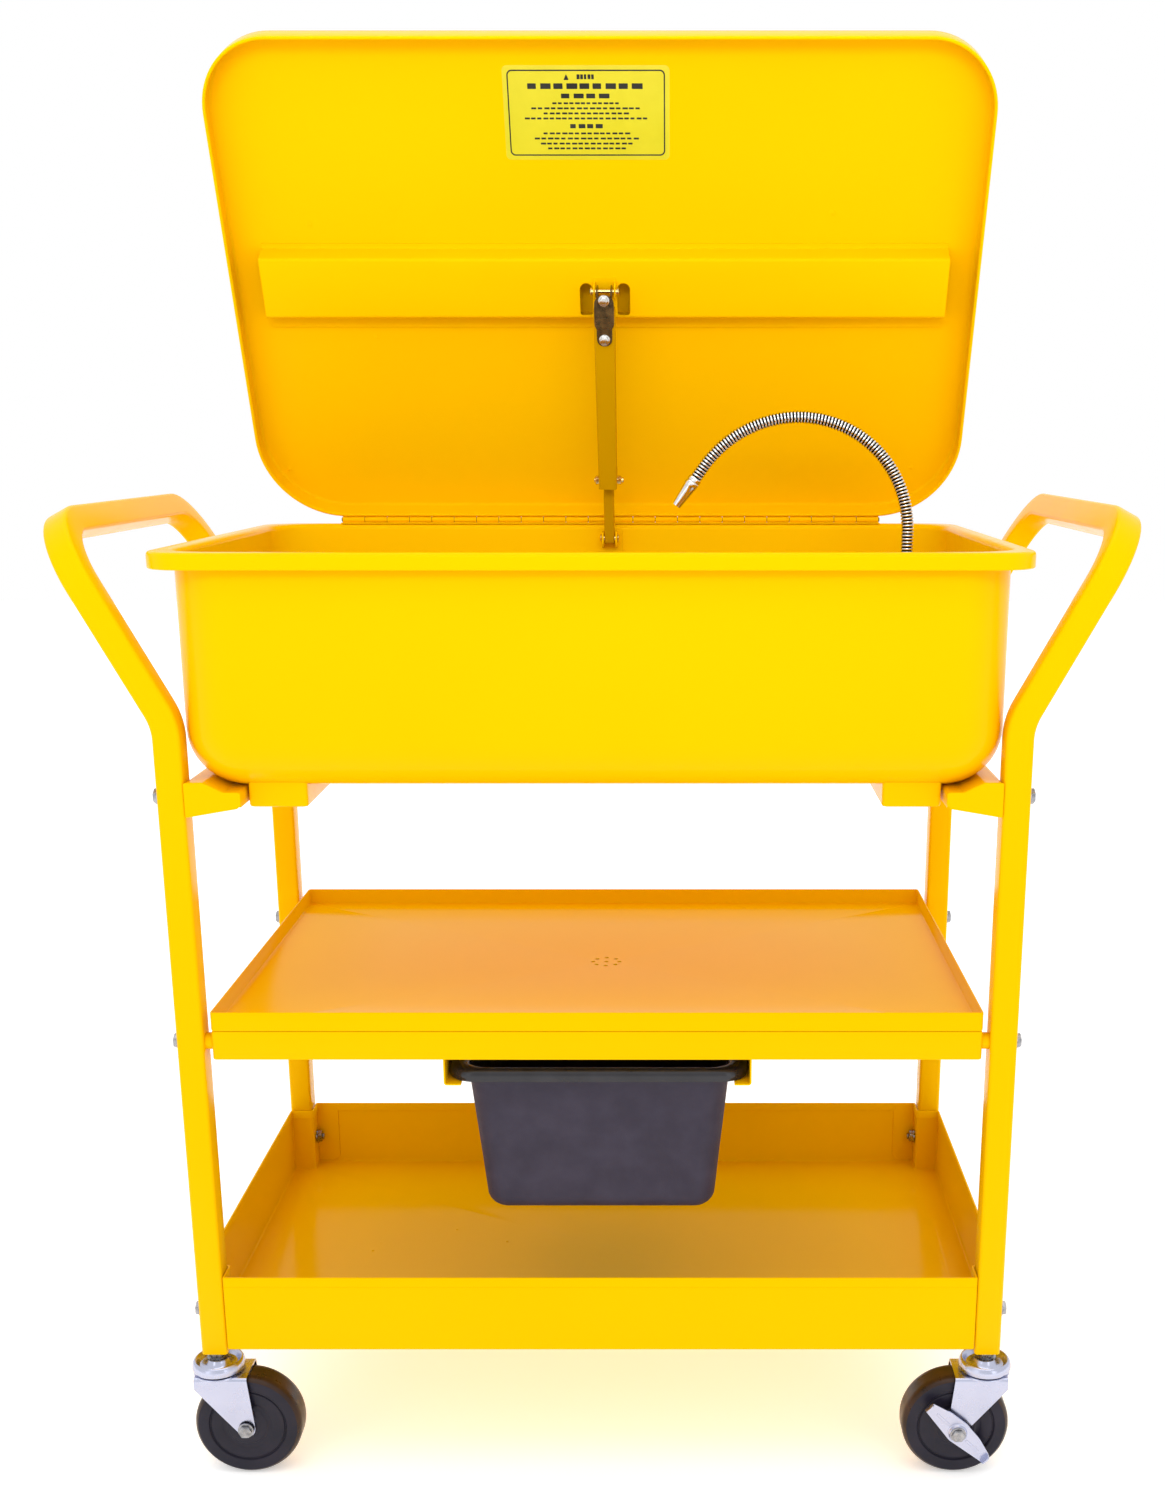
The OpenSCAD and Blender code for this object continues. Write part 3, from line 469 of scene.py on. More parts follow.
def cutter(v, f, matrix=None):
    me = bpy.data.meshes.new("cutter")
    me.from_pydata([tuple(c * MM for c in p) for p in v], [], f)
    me.transform(LIFT if matrix is None else LIFT @ matrix)
    bm = bmesh.new()
    bm.from_mesh(me)
    bmesh.ops.recalc_face_normals(bm, faces=bm.faces)
    bm.to_mesh(me)
    bm.free()
    ob = bpy.data.objects.new("cutter", me)
    link(ob)
    return ob


def stiffener():
    b, t = HAT_BASE - 0.6, 1.2
    mid = [(-212, b - 1.1), (-217, b - 0.3), (-227, b), (-229.6, b - HAT_H + 0.6), (-290, b - HAT_H + 0.6),
        (-293.6, b), (-299, b)]
    sec = sheet_section(mid, t, [0, 0, 2.2, 3.0, 3.0, 1.6, 0], 5)
    ob = piece("lid_stiffener_pressed", prism(sec, lambda u, z, w: (w, u + HINGE[0] + CART_Y, z), -358,
        358), ("lid_stiffener",), 40, **ON_LID)
    holes = []
    for x in (-19.5, 19.5):
        out = rrect(x - 6.7, x + 6.7, from_hinge(266), from_hinge(232.5), (6.7, 6.7, 3.2, 3.2), 8)
        v, f = loft([at(out, HAT_BASE - HAT_H - 3), at(out, HAT_BASE - HAT_H + 3)])
        holes.append(cutter(v, f, OPEN))
    cut_with(ob, holes)


def lid_label():
    z1, cx, cy = HAT_BASE, -14.5, from_hinge(425.5)
    w, h = 82.5, 44.0
    film = []
    for e, z in ((0, z1), (0, z1 - 0.22), (0.15, z1 - 0.3)):
        film.append(at(rrect(cx - w + e, cx + w - e, cy - h + e, cy + h - e, 5, 6), z))
    piece("label_film", loft(film), ("lid_label",), 60, slot="label_film", mat=LABEL, **ON_LID)
    zi = z1 - 0.3
    parts = []

    def bar(x0, x1, y0, y1, r=0.4):
        parts.append(loft([at(rrect(x0, x1, y0, y1, r, 2), zi), at(rrect(x0, x1, y0, y1, r, 2),
            zi - 0.05)]))
    a, b = w - 4.5, h - 4.0
    outer = rrect(cx - a, cx + a, cy - b, cy + b, 5, 8)
    inner = rrect(cx - a + 1.3, cx + a - 1.3, cy - b + 1.3, cy + b - 1.3, 4, 8)
    parts.append(loft([at(outer, zi), at(outer, zi - 0.05), at(inner, zi - 0.05), at(inner, zi)],
        closed=True))
    # the lid's front edge is up when it is open, so the label's first row is nearest -Y
    rows = ((-33.5, 2.2, 9.0, 5), (-25.0, 2.6, 58.0, 9), (-16.0, 2.2, 25.0, 4), (-9.3, 0.9, 34.0, 12),
        (-4.6, 0.9, 55.0, 17), (0.1, 0.9, 43.0, 14), (4.8, 0.9, 62.0, 20), (12.0, 2.0, 17.0, 4),
        (18.8, 0.9, 44.0, 14), (23.6, 0.9, 53.0, 16), (28.4, 0.9, 47.0, 15), (33.0, 0.9, 40.0, 13))
    for y, hh, half, count in rows:
        step = 2 * half / count
        for k in range(count):
            x0 = cx - half + k * step
            gap = step * (0.16 + 0.18 * ((k * 7 + count) % 5) / 4)
            bar(x0, x0 + step - gap, cy + y - hh, cy + y + hh, min(0.4, hh * 0.4))
    tri = [(cx - 22, cy - 30.6), (cx - 16.8, cy - 30.6), (cx - 19.4, cy - 36.2)]
    parts.append(loft([at(soft(tri, 0.5, 3), zi), at(soft(tri, 0.5, 3), zi - 0.05)]))
    piece("label_print", join(*parts), (), 60, slot="label_film", mat=INK, **ON_LID)


# ---------------------------------------------------------------- cart frame
LEG_X, LEG_Y, TUBE = 383.0, 214.3, 25.4
LEAN = radians(28.2)
BOW_LEN = 195.6 * (928 - 755.4) / 172.4
BEND_Z = 928 - BOW_LEN * cos(LEAN)


def end_frame(side):
    lean = Vector((sin(LEAN), 0, cos(LEAN)))
    corner = Vector((LEG_X, 0, BEND_Z))
    bend_r, bow_r = 60.0, 58.0
    t1 = bend_r * tan(LEAN / 2)
    half = [Vector((LEG_X, LEG_Y, 126)), Vector((LEG_X, LEG_Y, 420)), Vector((LEG_X, LEG_Y, BEND_Z - t1))]
    for k in range(1, 13):
        a = LEAN * k / 12
        half.append(Vector((LEG_X + bend_r * (1 - cos(a)), LEG_Y, BEND_Z - t1 + bend_r * sin(a))))
    base = corner + lean * (BOW_LEN - bow_r)
    half.append(base + Vector((0, LEG_Y, 0)))
    for k in range(1, 15):
        a = pi / 2 * k / 14
        half.append(base + lean * (bow_r * sin(a)) + Vector((0, LEG_Y - bow_r * (1 - cos(a)), 0)))
    path = half + [Vector((p.x, -p.y, p.z)) for p in reversed(half)]
    h = TUBE / 2
    sec = rrect(-h, h, -h, h, 3.4, 5)
    inn = rrect(-h + 1.6, h - 1.6, -h + 1.6, h - 1.6, 1.8, 5)
    rings = sweep(path, sec, (1, 0, 0))
    first = sweep(path, inn, (1, 0, 0))
    up = [tuple(Vector(p) + Vector((0, 0, 18))) for p in first[0]]
    up2 = [tuple(Vector(p) + Vector((0, 0, 18))) for p in first[-1]]
    ends = sweep(path, rrect(-h + 0.3, h - 0.3, -h + 0.3, h - 0.3, 3.1, 5), (1, 0, 0))
    lift = [tuple(Vector(p) + Vector((0, 0, 0.5))) for p in rings[0]]
    lift2 = [tuple(Vector(p) + Vector((0, 0, 0.5))) for p in rings[-1]]
    v, f = loft([up, first[0], ends[0], lift] + rings[1:-1] + [lift2, ends[-1], first[-1], up2])
    v = [(x * side, y + CART_Y, z) for x, y, z in v]
    name = "right" if side > 0 else "left"
    piece("end_frame_" + name + "_tube", (v, f), ("end_frame_" + name,), 40)


def tank_supports():
    parts = []
    t = 2.0
    mid = [(369.3, 670.5), (369.3, 702), (352.8, 702), (334.6, 693), (320.5, 693), (320.5, 680)]
    sec = sheet_section(mid, t, [0, 3.0, 5.0, 5.0, 2.6, 0], 5)
    lo = [(370.3, 670.4), (370.3, 702.5), (353, 702.6), (335, 693.6), (319.6, 693.4), (319.5, 682),
        (323, 678.6)]
    for s in (1, -1):
        parts.append(prism(sec, lambda u, z, w: (s * u, w + CART_Y, z), -226.2, 226.2))
        for y in (-227.0, 225.0):
            parts.append(prism(soft(lo, 1.4, 3), lambda u, z, w: (s * u, w + CART_Y, z), y, y + t))
    piece("tank_supports_pressed", join(*parts), ("tank_supports",), 35)
    parts = []
    for s in (1, -1):
        rings = []
        for dx, dy, z in ((24.5, 202.5, 675.6), (26.2, 204.2, 676.3), (27, 205, 678.2), (27, 205, 0),
                (25, 203, 0), (25, 203, 681.5), (24.6, 202.6, 679.6), (23.5, 201.5, 679)):
            plan = rrect(-dx, dx, -dy, dy, 3.2, 5)
            ys = (-198, -192, -187, -182, -170, 170, 182, 187, 192, 198)
            out = []
            for i, q in enumerate(plan):
                out.append(q)
                nxt = plan[(i + 1) % len(plan)]
                if abs(nxt[1] - q[1]) > 100:
                    out += [(q[0], y) for y in (ys if nxt[1] > q[1] else ys[::-1])]
            # the walls' top follows the tub's underside
            ring = [(x, y, z or TUB_Z + 53.9 - sqrt(54.0 ** 2 - max(abs(y) - 182, 0) ** 2)) for x, y in out]
            rings.append(shift(ring, s * 290.3, CART_Y))
        parts.append(loft(rings))
    piece("tank_feet_pressed", join(*parts), ("tank_feet",), 35)


def bottom_tray():
    w, d, n = 395.7, 227.0, 25.7
    top, bot = 210.0, 131.0

    def ring(e, z):
        a, b = w - e, d - e
        q = [(a, -(d - n) + e), (a, (d - n) - e), (w - n - e, (d - n) - e), (w - n - e, b),
            (-(w - n) + e, b), (-(w - n) + e, (d - n) - e), (-a, (d - n) - e), (-a, -(d - n) + e),
            (-(w - n) + e, -(d - n) + e), (-(w - n) + e, -b), ((w - n) - e, -b),
            ((w - n) - e, -(d - n) + e)]
        rr = []
        for i in range(12):
            inner = i in (2, 5, 8, 11)
            rr.append(1.6 + e if inner else max(2.6 - e, 0.5))
        return shift(at(soft(q, rr, 4), z), dy=CART_Y)
    rings = [ring(e, z) for e, z in ((2.4, bot), (1.2, bot + 0.4), (0.35, bot + 1.2), (0, bot + 2.4),
        (0, top - 10.6), (0.28, top - 10.25), (0.28, top - 9.95), (0, top - 9.6), (0, top - 0.8),
        (0.3, top - 0.2), (0.8, top), (1.6, top), (2.1, top - 0.2), (2.4, top - 0.8), (2.4, top - 9.7),
        (2.1, top - 10), (1.2, top - 10), (1.2, bot + 3.6), (1.55, bot + 2.2), (2.3, bot + 1.45),
        (3.6, bot + 1.2))]
    parts = [loft(rings)]
    # rounded tabs turned on to the front and back walls beside each leg
    for sx in (1, -1):
        for sy in (1, -1):
            y = sy * (d - 1.25)
            out = [(sx * (w - n - 1.0), bot + 4.0), (sx * (w - n - 27.0), bot + 4.0),
                (sx * (w - n - 27.0), top - 1.0), (sx * (w - n - 1.0), top - 1.0)]
            sec = soft(out, [0.6, 9.0, 9.0, 0.6], 8)
            inset = soft([(sx * (w - n - 1.4), bot + 4.4), (sx * (w - n - 26.6), bot + 4.4),
                (sx * (w - n - 26.6), top - 1.4), (sx * (w - n - 1.4), top - 1.4)], [0.6, 8.6, 8.6, 0.6], 8)
            parts.append(loft([[(u, y + CART_Y, z) for u, z in sec],
                [(u, y - sy * 1.0 + CART_Y, z) for u, z in sec], [(u, y - sy * 1.35 + CART_Y, z) for u,
                z in inset]]))
    piece("bottom_tray_folded", join(*parts), ("bottom_tray",), 35, mat=GLOSS)
    # weld spatter grains on the tray's floor
    parts = []
    for x, y, r in ((-262, -16, 1.5), (-175, 36, 1.2), (-115, 6, 1.3), (-256, 2, 0.8), (-330, 150, 1.0)):
        parts.append(lathe([(r, 0), (r * 0.8, r * 0.5), (r * 0.4, r * 0.75), (0, r * 0.8)], 12,
            centre=(x, y + CART_Y, bot + 1.15)))
    piece("bottom_tray_grains", join(*parts), (), 60)


# ---------------------------------------------------------------- shelf
SHELF_Z, LIP, SHELF_DIP = 466.0, 483.4, 3.0


def shelf():
    w, d = 363.0, 225.0

    def ring(e, z, r=3.4):
        return shift(at(rrect(-w + e, w - e, -d + e, d - e, max(r - e, 0.6), 5), z), dy=CART_Y)
    apron = [ring(e, z) for e, z in ((15, 436), (1.6, 436), (0.5, 436.5), (0, 437.6), (0, 462.6),
        (0.25, 463.8), (0.9, 464.4), (14, 464.4), (14, 463.0), (2.0, 463.0), (1.5, 462.4), (1.5, 439.2),
        (2.2, 437.8), (3.4, 437.4), (15, 437.4))]
    piece("shelf_frame_folded", loft(apron, closed=True), ("shelf_frame",), 35)
    low = SHELF_Z - 1.5
    out = [ring(e, z) for e, z in ((1.6, low), (0.5, low + 0.5), (0, low + 1.6), (0, LIP - 0.9),
        (0.25, LIP - 0.25), (0.75, LIP), (1.1, LIP - 0.1), (1.45, LIP - 0.6), (1.5, LIP - 1.4),
        (1.5, SHELF_Z + 1.8), (1.9, SHELF_Z + 0.6), (3.2, SHELF_Z))]
    wall = loft(out, (False, False))
    # the floor dips to the middle in four flat fields; its drain holes are cut below

    def field(e, top):
        per = ring(e, top)
        rings = [per]
        for t in (0.35, 0.62, 0.82, 0.93, 0.965):
            rings.append([(x * (1 - t), (y - CART_Y) * (1 - t) + CART_Y, top - SHELF_DIP * t) for x, y,
                _ in per])
        return loft(rings, (False, True))
    top = field(3.2, SHELF_Z)
    bottom = field(1.6, low)
    ob = piece("drain_shelf_pressed", join(wall, top, bottom), ("drain_shelf",), 20, mat=GLOSS)
    holes = []
    for x, y in [(0, 0)] + [(14 * cos(k * pi / 4), 14 * sin(k * pi / 4)) for k in range(8)]:
        hv, hf = lathe([(2.4, SHELF_Z - 9), (2.4, SHELF_Z + 3)], 20, centre=(x, y + CART_Y, 0))
        holes.append(cutter(hv, hf))
    cut_with(ob, holes)


def bin_rails():
    t, top, low = 1.5, 460.0, 410.0
    parts = []
    for s in (1, -1):
        mid = [(145.25, top), (145.25, low + 0.75), (129.8, low + 0.75)]
        sec = sheet_section(mid, t, 2.2, 5)
        parts.append(prism(sec, lambda u, z, w: (s * u, w + CART_Y, z), -223.4, 223.4))
        for y in (-223.5, 222.0):
            out = soft([(145.8, 439.2), (134.5, 439.2), (134.5, 459.5), (145.8, 459.5)], 1.0, 3)
            parts.append(prism(out, lambda u, z, w: (s * u, w + CART_Y, z), y, y + t))
    piece("bin_rails_folded", join(*parts), ("bin_rails",), 35)


# ---------------------------------------------------------------- drain bin
def drain_bin():
    cy, top, h = -58.5 + CART_Y, 424.0, 158.0

    def ring(hx, hy, r, z):
        return shift(at(rrect(-hx, hx, -hy, hy, r, 10), z), dy=cy)

    def wall(k, e):                 # k from 0 at the bottom edge to 1 under the rim
        return 112.8 + 13.5 * k - e, 135.5 + 13.5 * k - e
    rings = []
    for k in range(7):
        a = radians(90 - 90 * k / 6)
        hx, hy = wall(0.02, 0)
        ins = 16 * (1 - cos(a))
        rings.append(ring(hx - ins, hy - ins, max(22 - ins, 3), top - h + 16 * (1 - sin(a))))
    for k in (0.3, 0.6, 0.9, 1.0):
        hx, hy = wall(k, 0)
        rings.append(ring(hx, hy, 22 + 2 * k, top - h + 16 + (h - 16 - 12) * k))
    n_body = len(rings)
    for dx, z in ((1.0, -8.4), (3.5, -6.6), (7.0, -6.2), (10.0, -6.8), (11.3, -9.4), (12.2, -11.4),
            (13.2, -11.7), (13.5, -10.6), (13.5, -6.0), (13.1, -3.6), (11.8, -1.5), (9.6, -0.35), (7.0, 0),
            (3.0, -0.5), (0.2, -2.2), (-1.6, -5.0)):
        rings.append(ring(126.3 + 1.296 * dx, 149 + dx, 23 + 0.35 * dx, top + z))
    n_rim = len(rings)
    for k in (0.9, 0.5, 0.0):
        hx, hy = wall(k, 2.6)
        rings.append(ring(hx, hy, 21, top - h + 16 + (h - 16 - 12) * k))
    for k in range(1, 6):
        a = radians(90 * k / 5)
        hx, hy = wall(0, 2.6)
        ins = 13.4 * (1 - cos(a))
        rings.append(ring(hx - ins, hy - ins, max(20 - ins, 3), top - h + 16 - 13.4 * sin(a)))
    v, f = loft(rings)
    per = len(rings[0])
    idx = [0] * len(f)
    for i in range(n_body, n_rim - 1):
        for k in range(per):
            idx[i * per + k] = 1
    piece("drain_bin_moulded", (v, f), ("drain_bin",), 50, body="bin", slot="bin_plastic",
        mat=[BIN, BIN_GLOSS], face_mats=idx)


# ---------------------------------------------------------------- hinge
def hinge():
    hy, hz = HINGE[0] + CART_Y, HINGE[1]
    half, pitch = 304.8, 25.4
    for first, body, node in ((0, "cart", "hinge_tank_leaf"), (1, "lid", "hinge_lid_leaf")):
        parts = []
        for i in range(first, 24, 2):
            x0 = -half + i * pitch + 0.3
            x1 = x0 + pitch - 0.6
            # each knuckle is the leaf's edge rolled round the pin
            if first == 0:
                ring = arc2(0, 0, 4.0, -90, 230, 20)
                inner = arc2(0, 0, 2.8, 230, -80, 18)
                outline = [(-5.2, -4.0)] + ring + inner + [(0.5, -2.8), (-5.2, -2.8)]
            else:
                ring = arc2(0, 0, 4.0, 186, 470, 20)
                inner = arc2(0, 0, 2.8, 470, 190, 18)
                outline = [(-4.5, 4.6), (-4.5, 1.5), (-4.2, 0.6)] + ring + inner + [(-3.2, 1.2),
                    (-3.3, 4.6)]
            parts.append(prism(outline, lambda u, z, w: (w, u + hy, z + hz), x0, x1))
        if first == 0:
            leaf = rrect(-half, half, hy - 14, hy - 4.8, 1.0, 3)
            parts.append(loft([at(leaf, 908.0), at(leaf, 908.9), at(rrect(-half + 0.3, half - 0.3,
                hy - 13.7, hy - 5.1, 1.0, 3), 909.2)]))
        else:
            leaf = rrect(-half, half, hz + 4.6, hz + 22.6, 1.0, 3)
            y = LID_BACK + CART_Y
            parts.append(loft([[(x, y, z) for x, z in leaf], [(x, y + 1.2, z) for x, z in leaf]]))
            for k in range(8):      # rivet heads along the leaf
                x = -half + 38 + k * (2 * half - 76) / 7
                parts.append(lathe([(3.4, y + 1.2), (3.1, y + 1.9), (1.8, y + 2.5), (0, y + 2.7)], 18, "y",
                    (x, 0, hz + 14.5)))
        piece(node + "_rolled", join(*parts), (node,), 30, body=body, matrix=OPEN if first else None)
    # the pin is near-black: painted shade in the gaps between the knuckles
    v, f = lathe([(0, -half - 1), (2.2, -half - 1), (2.5, -half - 0.7), (2.5, half + 0.7), (2.2, half + 1),
        (0, half + 1)], 24, "x", (0, hy, hz))
    piece("hinge_pin_rod", (v, f), ("hinge_pin",), 40, slot="zinc_plate", mat=GAP_SHADE_METAL)


# ---------------------------------------------------------------- fasteners
BOLTS = {"slot": "zinc_plate", "mat": ZINC_BOLT}


def hexagon(af, r=0.0):
    c = af / 2 / cos(pi / 6)
    pts = [(c * cos(pi / 3 * k), c * sin(pi / 3 * k)) for k in range(6)]
    return soft(pts, r, 2) if r else pts


def hex_part(af, h, domed=1.0):
    """A hexagon head or nut standing on z = 0, its top edge turned to a cone."""
    base = hexagon(af, 0.35)
    rings = [at(base, 0), at(base, h - domed)]
    face = af / 2 * 0.97
    for k, t in ((0.5, 0.55), (1.0, 1.0)):
        ring = []
        for x, y in base:
            r = hypot(x, y)
            q = r + (min(r, face) - r) * t
            ring.append((x * q / r, y * q / r, h - domed + domed * 0.75 * k))
        rings.append(ring)
    rings.append([(x / hypot(x, y) * face * 0.86, y / hypot(x, y) * face * 0.86, h) for x, y in base])
    return loft(rings)


def turned(part, axis, centre, flip=False):
    """Stands a part made on z on another axis, at a place."""
    v, f = part
    out = []
    for x, y, z in v:
        if flip:
            z, y = -z, -y
        p = {"x": (z, y, -x), "y": (x, z, -y), "z": (x, y, z)}[axis]
        out.append((p[0] + centre[0], p[1] + centre[1], p[2] + centre[2]))
    return out, f


def washer(r0, r1, h):
    return loft([at([(r * cos(pi * k / 16), r * sin(pi * k / 16)) for k in range(32)], z) for r,
        z in ((r1, 0), (r1 - 0.15, h * 0.85), (r1 - 0.5, h), (r0, h), (r0, 0))], closed=True)


def frame_fasteners():
    heads, nuts = [], []
    out = LEG_X + TUBE / 2
    for s in (1, -1):
        for y in (LEG_Y + CART_Y, -LEG_Y + CART_Y):
            # heights of the bolts, and how far out the face is that each nut bears on
            for z, face in ((688, 368.3), (452, 361.5), (171, 367.6)):
                c = (s * out, y, z)
                heads.append(turned(washer(4.0, 8.2, 1.3), "x", c, s < 0))
                heads.append(turned(hex_part(12.8, 4.0, 1.0), "x", (c[0] + s * 1.3, y, z), s < 0))
                n = (s * face, y, z)
                nuts.append(turned(washer(4.0, 8.2, 1.2), "x", n, s > 0))
                nuts.append(turned(hex_part(12.8, 5.0, 1.0), "x", (n[0] - s * 1.2, y, z), s > 0))
                # the shank's threaded end, past the nut
                ridges = [(3.2, -8.4), (3.9, -7.7)]
                for k in range(2):
                    ridges += [(3.5, -7.4 + 0.7 * k), (3.9, -7.1 + 0.7 * k)]
                ridges += [(3.9, -4.0)]
                heads.append(turned(lathe(ridges, 20), "x", n, s < 0))
    piece("frame_bolt_heads", join(*heads), ("frame_bolts",), 30, **BOLTS)
    piece("frame_nut_set", join(*nuts), ("frame_nuts",), 30, **BOLTS)


# ---------------------------------------------------------------- lid stay
A = Vector((0, 217.0, 893.4))
B = Vector((0, 143.387, 1148.987))
STAY_LEN = (B - A).length
LINK_LEN = 0.249 * STAY_LEN
STAY = (Matrix.Translation((0, (A.y + CART_Y) * MM, A.z * MM))
    @ Matrix.Rotation(atan2(A.y - B.y, B.z - A.z), 4, "X"))
ON_ARM = {"body": "stay_upper", "matrix": STAY}


def stay():
    def channel(half, front, back, lo, hi, r=2.0, t=1.5, spread=1.0):
        mid = [(-half + t / 2, back), (-half + t / 2, front + t / 2), (half - t / 2, front + t / 2),
            (half - t / 2, back)]
        return prism(sheet_section(mid, t, r, 5), lambda u, v, w: (u * spread if w == hi else u, v, w), lo,
            hi)
    # arm: a channel facing back, with lugs that hold the knee bolt
    low, top = LINK_LEN - 3.6, STAY_LEN - 13.5
    arm = channel(9.9, -23.0, -7.5, low, top, spread=1.13)
    lugs = []
    for x in (-9.9, 8.4):
        out = soft([(-20.0, low), (7.0, low + 3.0), (7.0, low + 17.0), (-7.5, low + 21.0),
            (-20.0, low + 21.0)], [0.5, 6.5, 6.5, 3, 0.5], 6)
        lugs.append(prism(out, along_x, x, x + 1.5))
    # the arm and the link take the darker gold: painted shade
    piece("stay_arm_channel", join(arm, *lugs), ("stay_arm",), 35, mat=SHADED_GOLD, **ON_ARM)
    # link
    ob = piece("stay_link_channel", channel(5.5, -6.6, 11.5, -6.0, LINK_LEN + 5.6, 1.6, 1.6),
        ("stay_link",), 35, body="stay_lower", mat=SHADED_GOLD, matrix=STAY)
    slot = soft([(-4.6, LINK_LEN - 19), (8.6, LINK_LEN - 19), (8.6, LINK_LEN + 3.6),
        (-4.6, LINK_LEN + 3.6)], 3.0, 5)
    tail = soft([(4.0, -14), (20, -14), (20, 12), (11.6, 12)], 0.4, 3)
    front = [(-12, -14), (-12, 1), (-6.7, 1), (-5.2, -3.6), (-1.5, -5.8), (-1.5, -14)]
    cut_with(ob, [cutter(*prism(q, along_x, -12, 12), STAY) for q in (slot, tail, front)])
    # fuse link: a fork on the lid pivot, two soldered plates
    f0 = -23 + 1.5 + 0.1
    parts = []
    web = soft([(-8, STAY_LEN - 12.5), (8, STAY_LEN - 12.5), (8, STAY_LEN - 3), (-8, STAY_LEN - 3)],
        [5, 5, 2, 2], 5)
    parts.append(prism(web, along_y, f0, f0 + 1.5))
    for x in (-8.0, 6.5):
        ear = soft([(f0, STAY_LEN - 8), (4, STAY_LEN - 8), (4, STAY_LEN + 6.5), (f0, STAY_LEN + 6.5)],
            [0.5, 5.5, 5.5, 0.5], 6)
        parts.append(prism(ear, along_x, x, x + 1.5))
    piece("stay_fork_strap", join(*parts), (), 35, slot="brass_link", mat=BRASS, **ON_ARM)
    parts = []
    for y0, z0, z1, q in ((-26.0, STAY_LEN - 35.6, STAY_LEN + 1.6, 10.2),
            (-24.5, STAY_LEN - 50, STAY_LEN - 18, 8.0)):
        plate = soft([(-q, z0), (q, z0), (q, z1), (-q, z1)], q - 0.8, 8)
        small = soft([(0.3 - q, z0 + 0.3), (q - 0.3, z0 + 0.3), (q - 0.3, z1 - 0.3), (0.3 - q, z1 - 0.3)],
            q - 1.1, 8)
        parts.append(loft([[(u, y0 + 1.5, z) for u, z in plate], [(u, y0 + 0.3, z) for u, z in plate],
            [(u, y0, z) for u, z in small]]))
    ob = piece("stay_fuse_plates", join(*parts), ("stay_fuse_link",), 35, slot="brass_link", mat=BRASS,
        **ON_ARM)
    slots = []
    for z in (STAY_LEN - 20, STAY_LEN - 31.4):
        q = rrect(-4.0, 4.0, z - 1.3, z + 1.3, 1.2, 4)
        slots.append(cutter(*prism(q, lambda u, w_, w: (u, w, w_), -27, -24.9), STAY))
    cut_with(ob, slots)
    # bolts of the fuse link, knee bolt, base and top pins
    parts = []
    for y, z in ((-26.0, STAY_LEN - 3.8), (-24.5, STAY_LEN - 43.8)):
        parts.append(turned(washer(2.4, 5.9, 0.7), "y", (0, y, z), True))
        parts.append(turned(hex_part(8.4, 2.8, 0.7), "y", (0, y - 0.7, z), True))
        parts.append(turned(lathe([(2.4, 0), (2.4, 8)], 16), "y", (0, y, z)))
    piece("stay_fuse_bolt_set", join(*parts), ("stay_fuse_bolts",), 30, slot="zinc_plate", mat=BRIGHT,
        **ON_ARM)
    parts = [lathe([(0, -15.6), (2.4, -15.6), (2.95, -15.0), (2.95, 16.2), (2.4, 16.8), (0, 16.8)], 24,
        "x", (0, 0, LINK_LEN))]
    for s in (1, -1):
        parts.append(turned(hex_part(9.0, 4.2, 0.8), "x", (s * 10.3, 0, LINK_LEN), s < 0))
    piece("stay_knee_bolt_set", join(*parts), ("stay_knee_bolt",), 30, slot="zinc_plate", mat=PASSIVE,
        **ON_ARM)
    base = Matrix.Translation((0, (A.y + CART_Y) * MM, A.z * MM))
    parts = [lathe([(2.95, -9), (2.95, 9)], 24, "x")]
    for s in (1, -1):
        parts.append(turned(lathe([(4.8, 0), (5.0, 0.5), (4.4, 1.4), (2.6, 2.0), (0, 2.1)], 24), "x",
            (s * 8.7, 0, 0), s < 0))
    piece("stay_base_rivet", join(*parts), ("stay_base_pin",), 30, slot="zinc_plate", mat=PASSIVE,
        matrix=base)
    parts = []
    for x in (-8.5, 6.5):
        ear = soft([(-7, -9), (16.4, -12), (16.4, 7), (-7, 7)], [6.5, 0.5, 0.5, 6.5], 7)
        parts.append(prism(ear, along_x, x, x + 2))
    back = soft([(-14, -17), (14, -17), (14, 9), (-14, 9)], 3.0, 5)
    parts.append(prism(back, along_y, 15.6, 17.6))
    piece("stay_base_fork", join(*parts), ("stay_base_bracket",), 35, matrix=base)
    # fork on the lid
    face = HAT_BASE - HAT_H
    cy = from_hinge(260)
    parts = []
    foot = soft([(-11.5, cy - 12), (11.5, cy - 12), (11.5, cy + 22), (-11.5, cy + 22)], 1.5, 3)
    parts.append(loft([at(foot, face), at(foot, face - 1.5)]))
    for x in (-11.5, 10.0):
        ear = soft([(cy - 8, face), (cy + 8, face), (cy + 8, face - 16), (cy - 8, face - 16)],
            [0.5, 0.5, 7, 7], 7)
        parts.append(prism(ear, along_x, x, x + 1.5))
    piece("stay_lid_fork", join(*parts), ("stay_clevis",), 35, slot="zinc_plate", **ON_LID)
    parts = [lathe([(2.45, -13.5), (2.45, 13.5)], 20, "x", (0, cy, 906))]
    for s in (1, -1):
        parts.append(turned(lathe([(4.1, 0), (4.2, 0.5), (3.8, 1.5), (2.2, 2.0), (0, 2.1)], 20), "x",
            (s * 13.4, cy, 906), s < 0))
    piece("stay_top_rivet", join(*parts), ("stay_top_pin",), 30, slot="zinc_plate", mat=PASSIVE, **ON_LID)


# ---------------------------------------------------------------- spout
SPOUT = Vector((313.0, 60.0 + CART_Y, 800.0))
NECK_BIG, NECK_SMALL, NECK_TURN, NECK_TOP, NECK_END = 114.0, 119.0, 54.0, 908.6, 14.7


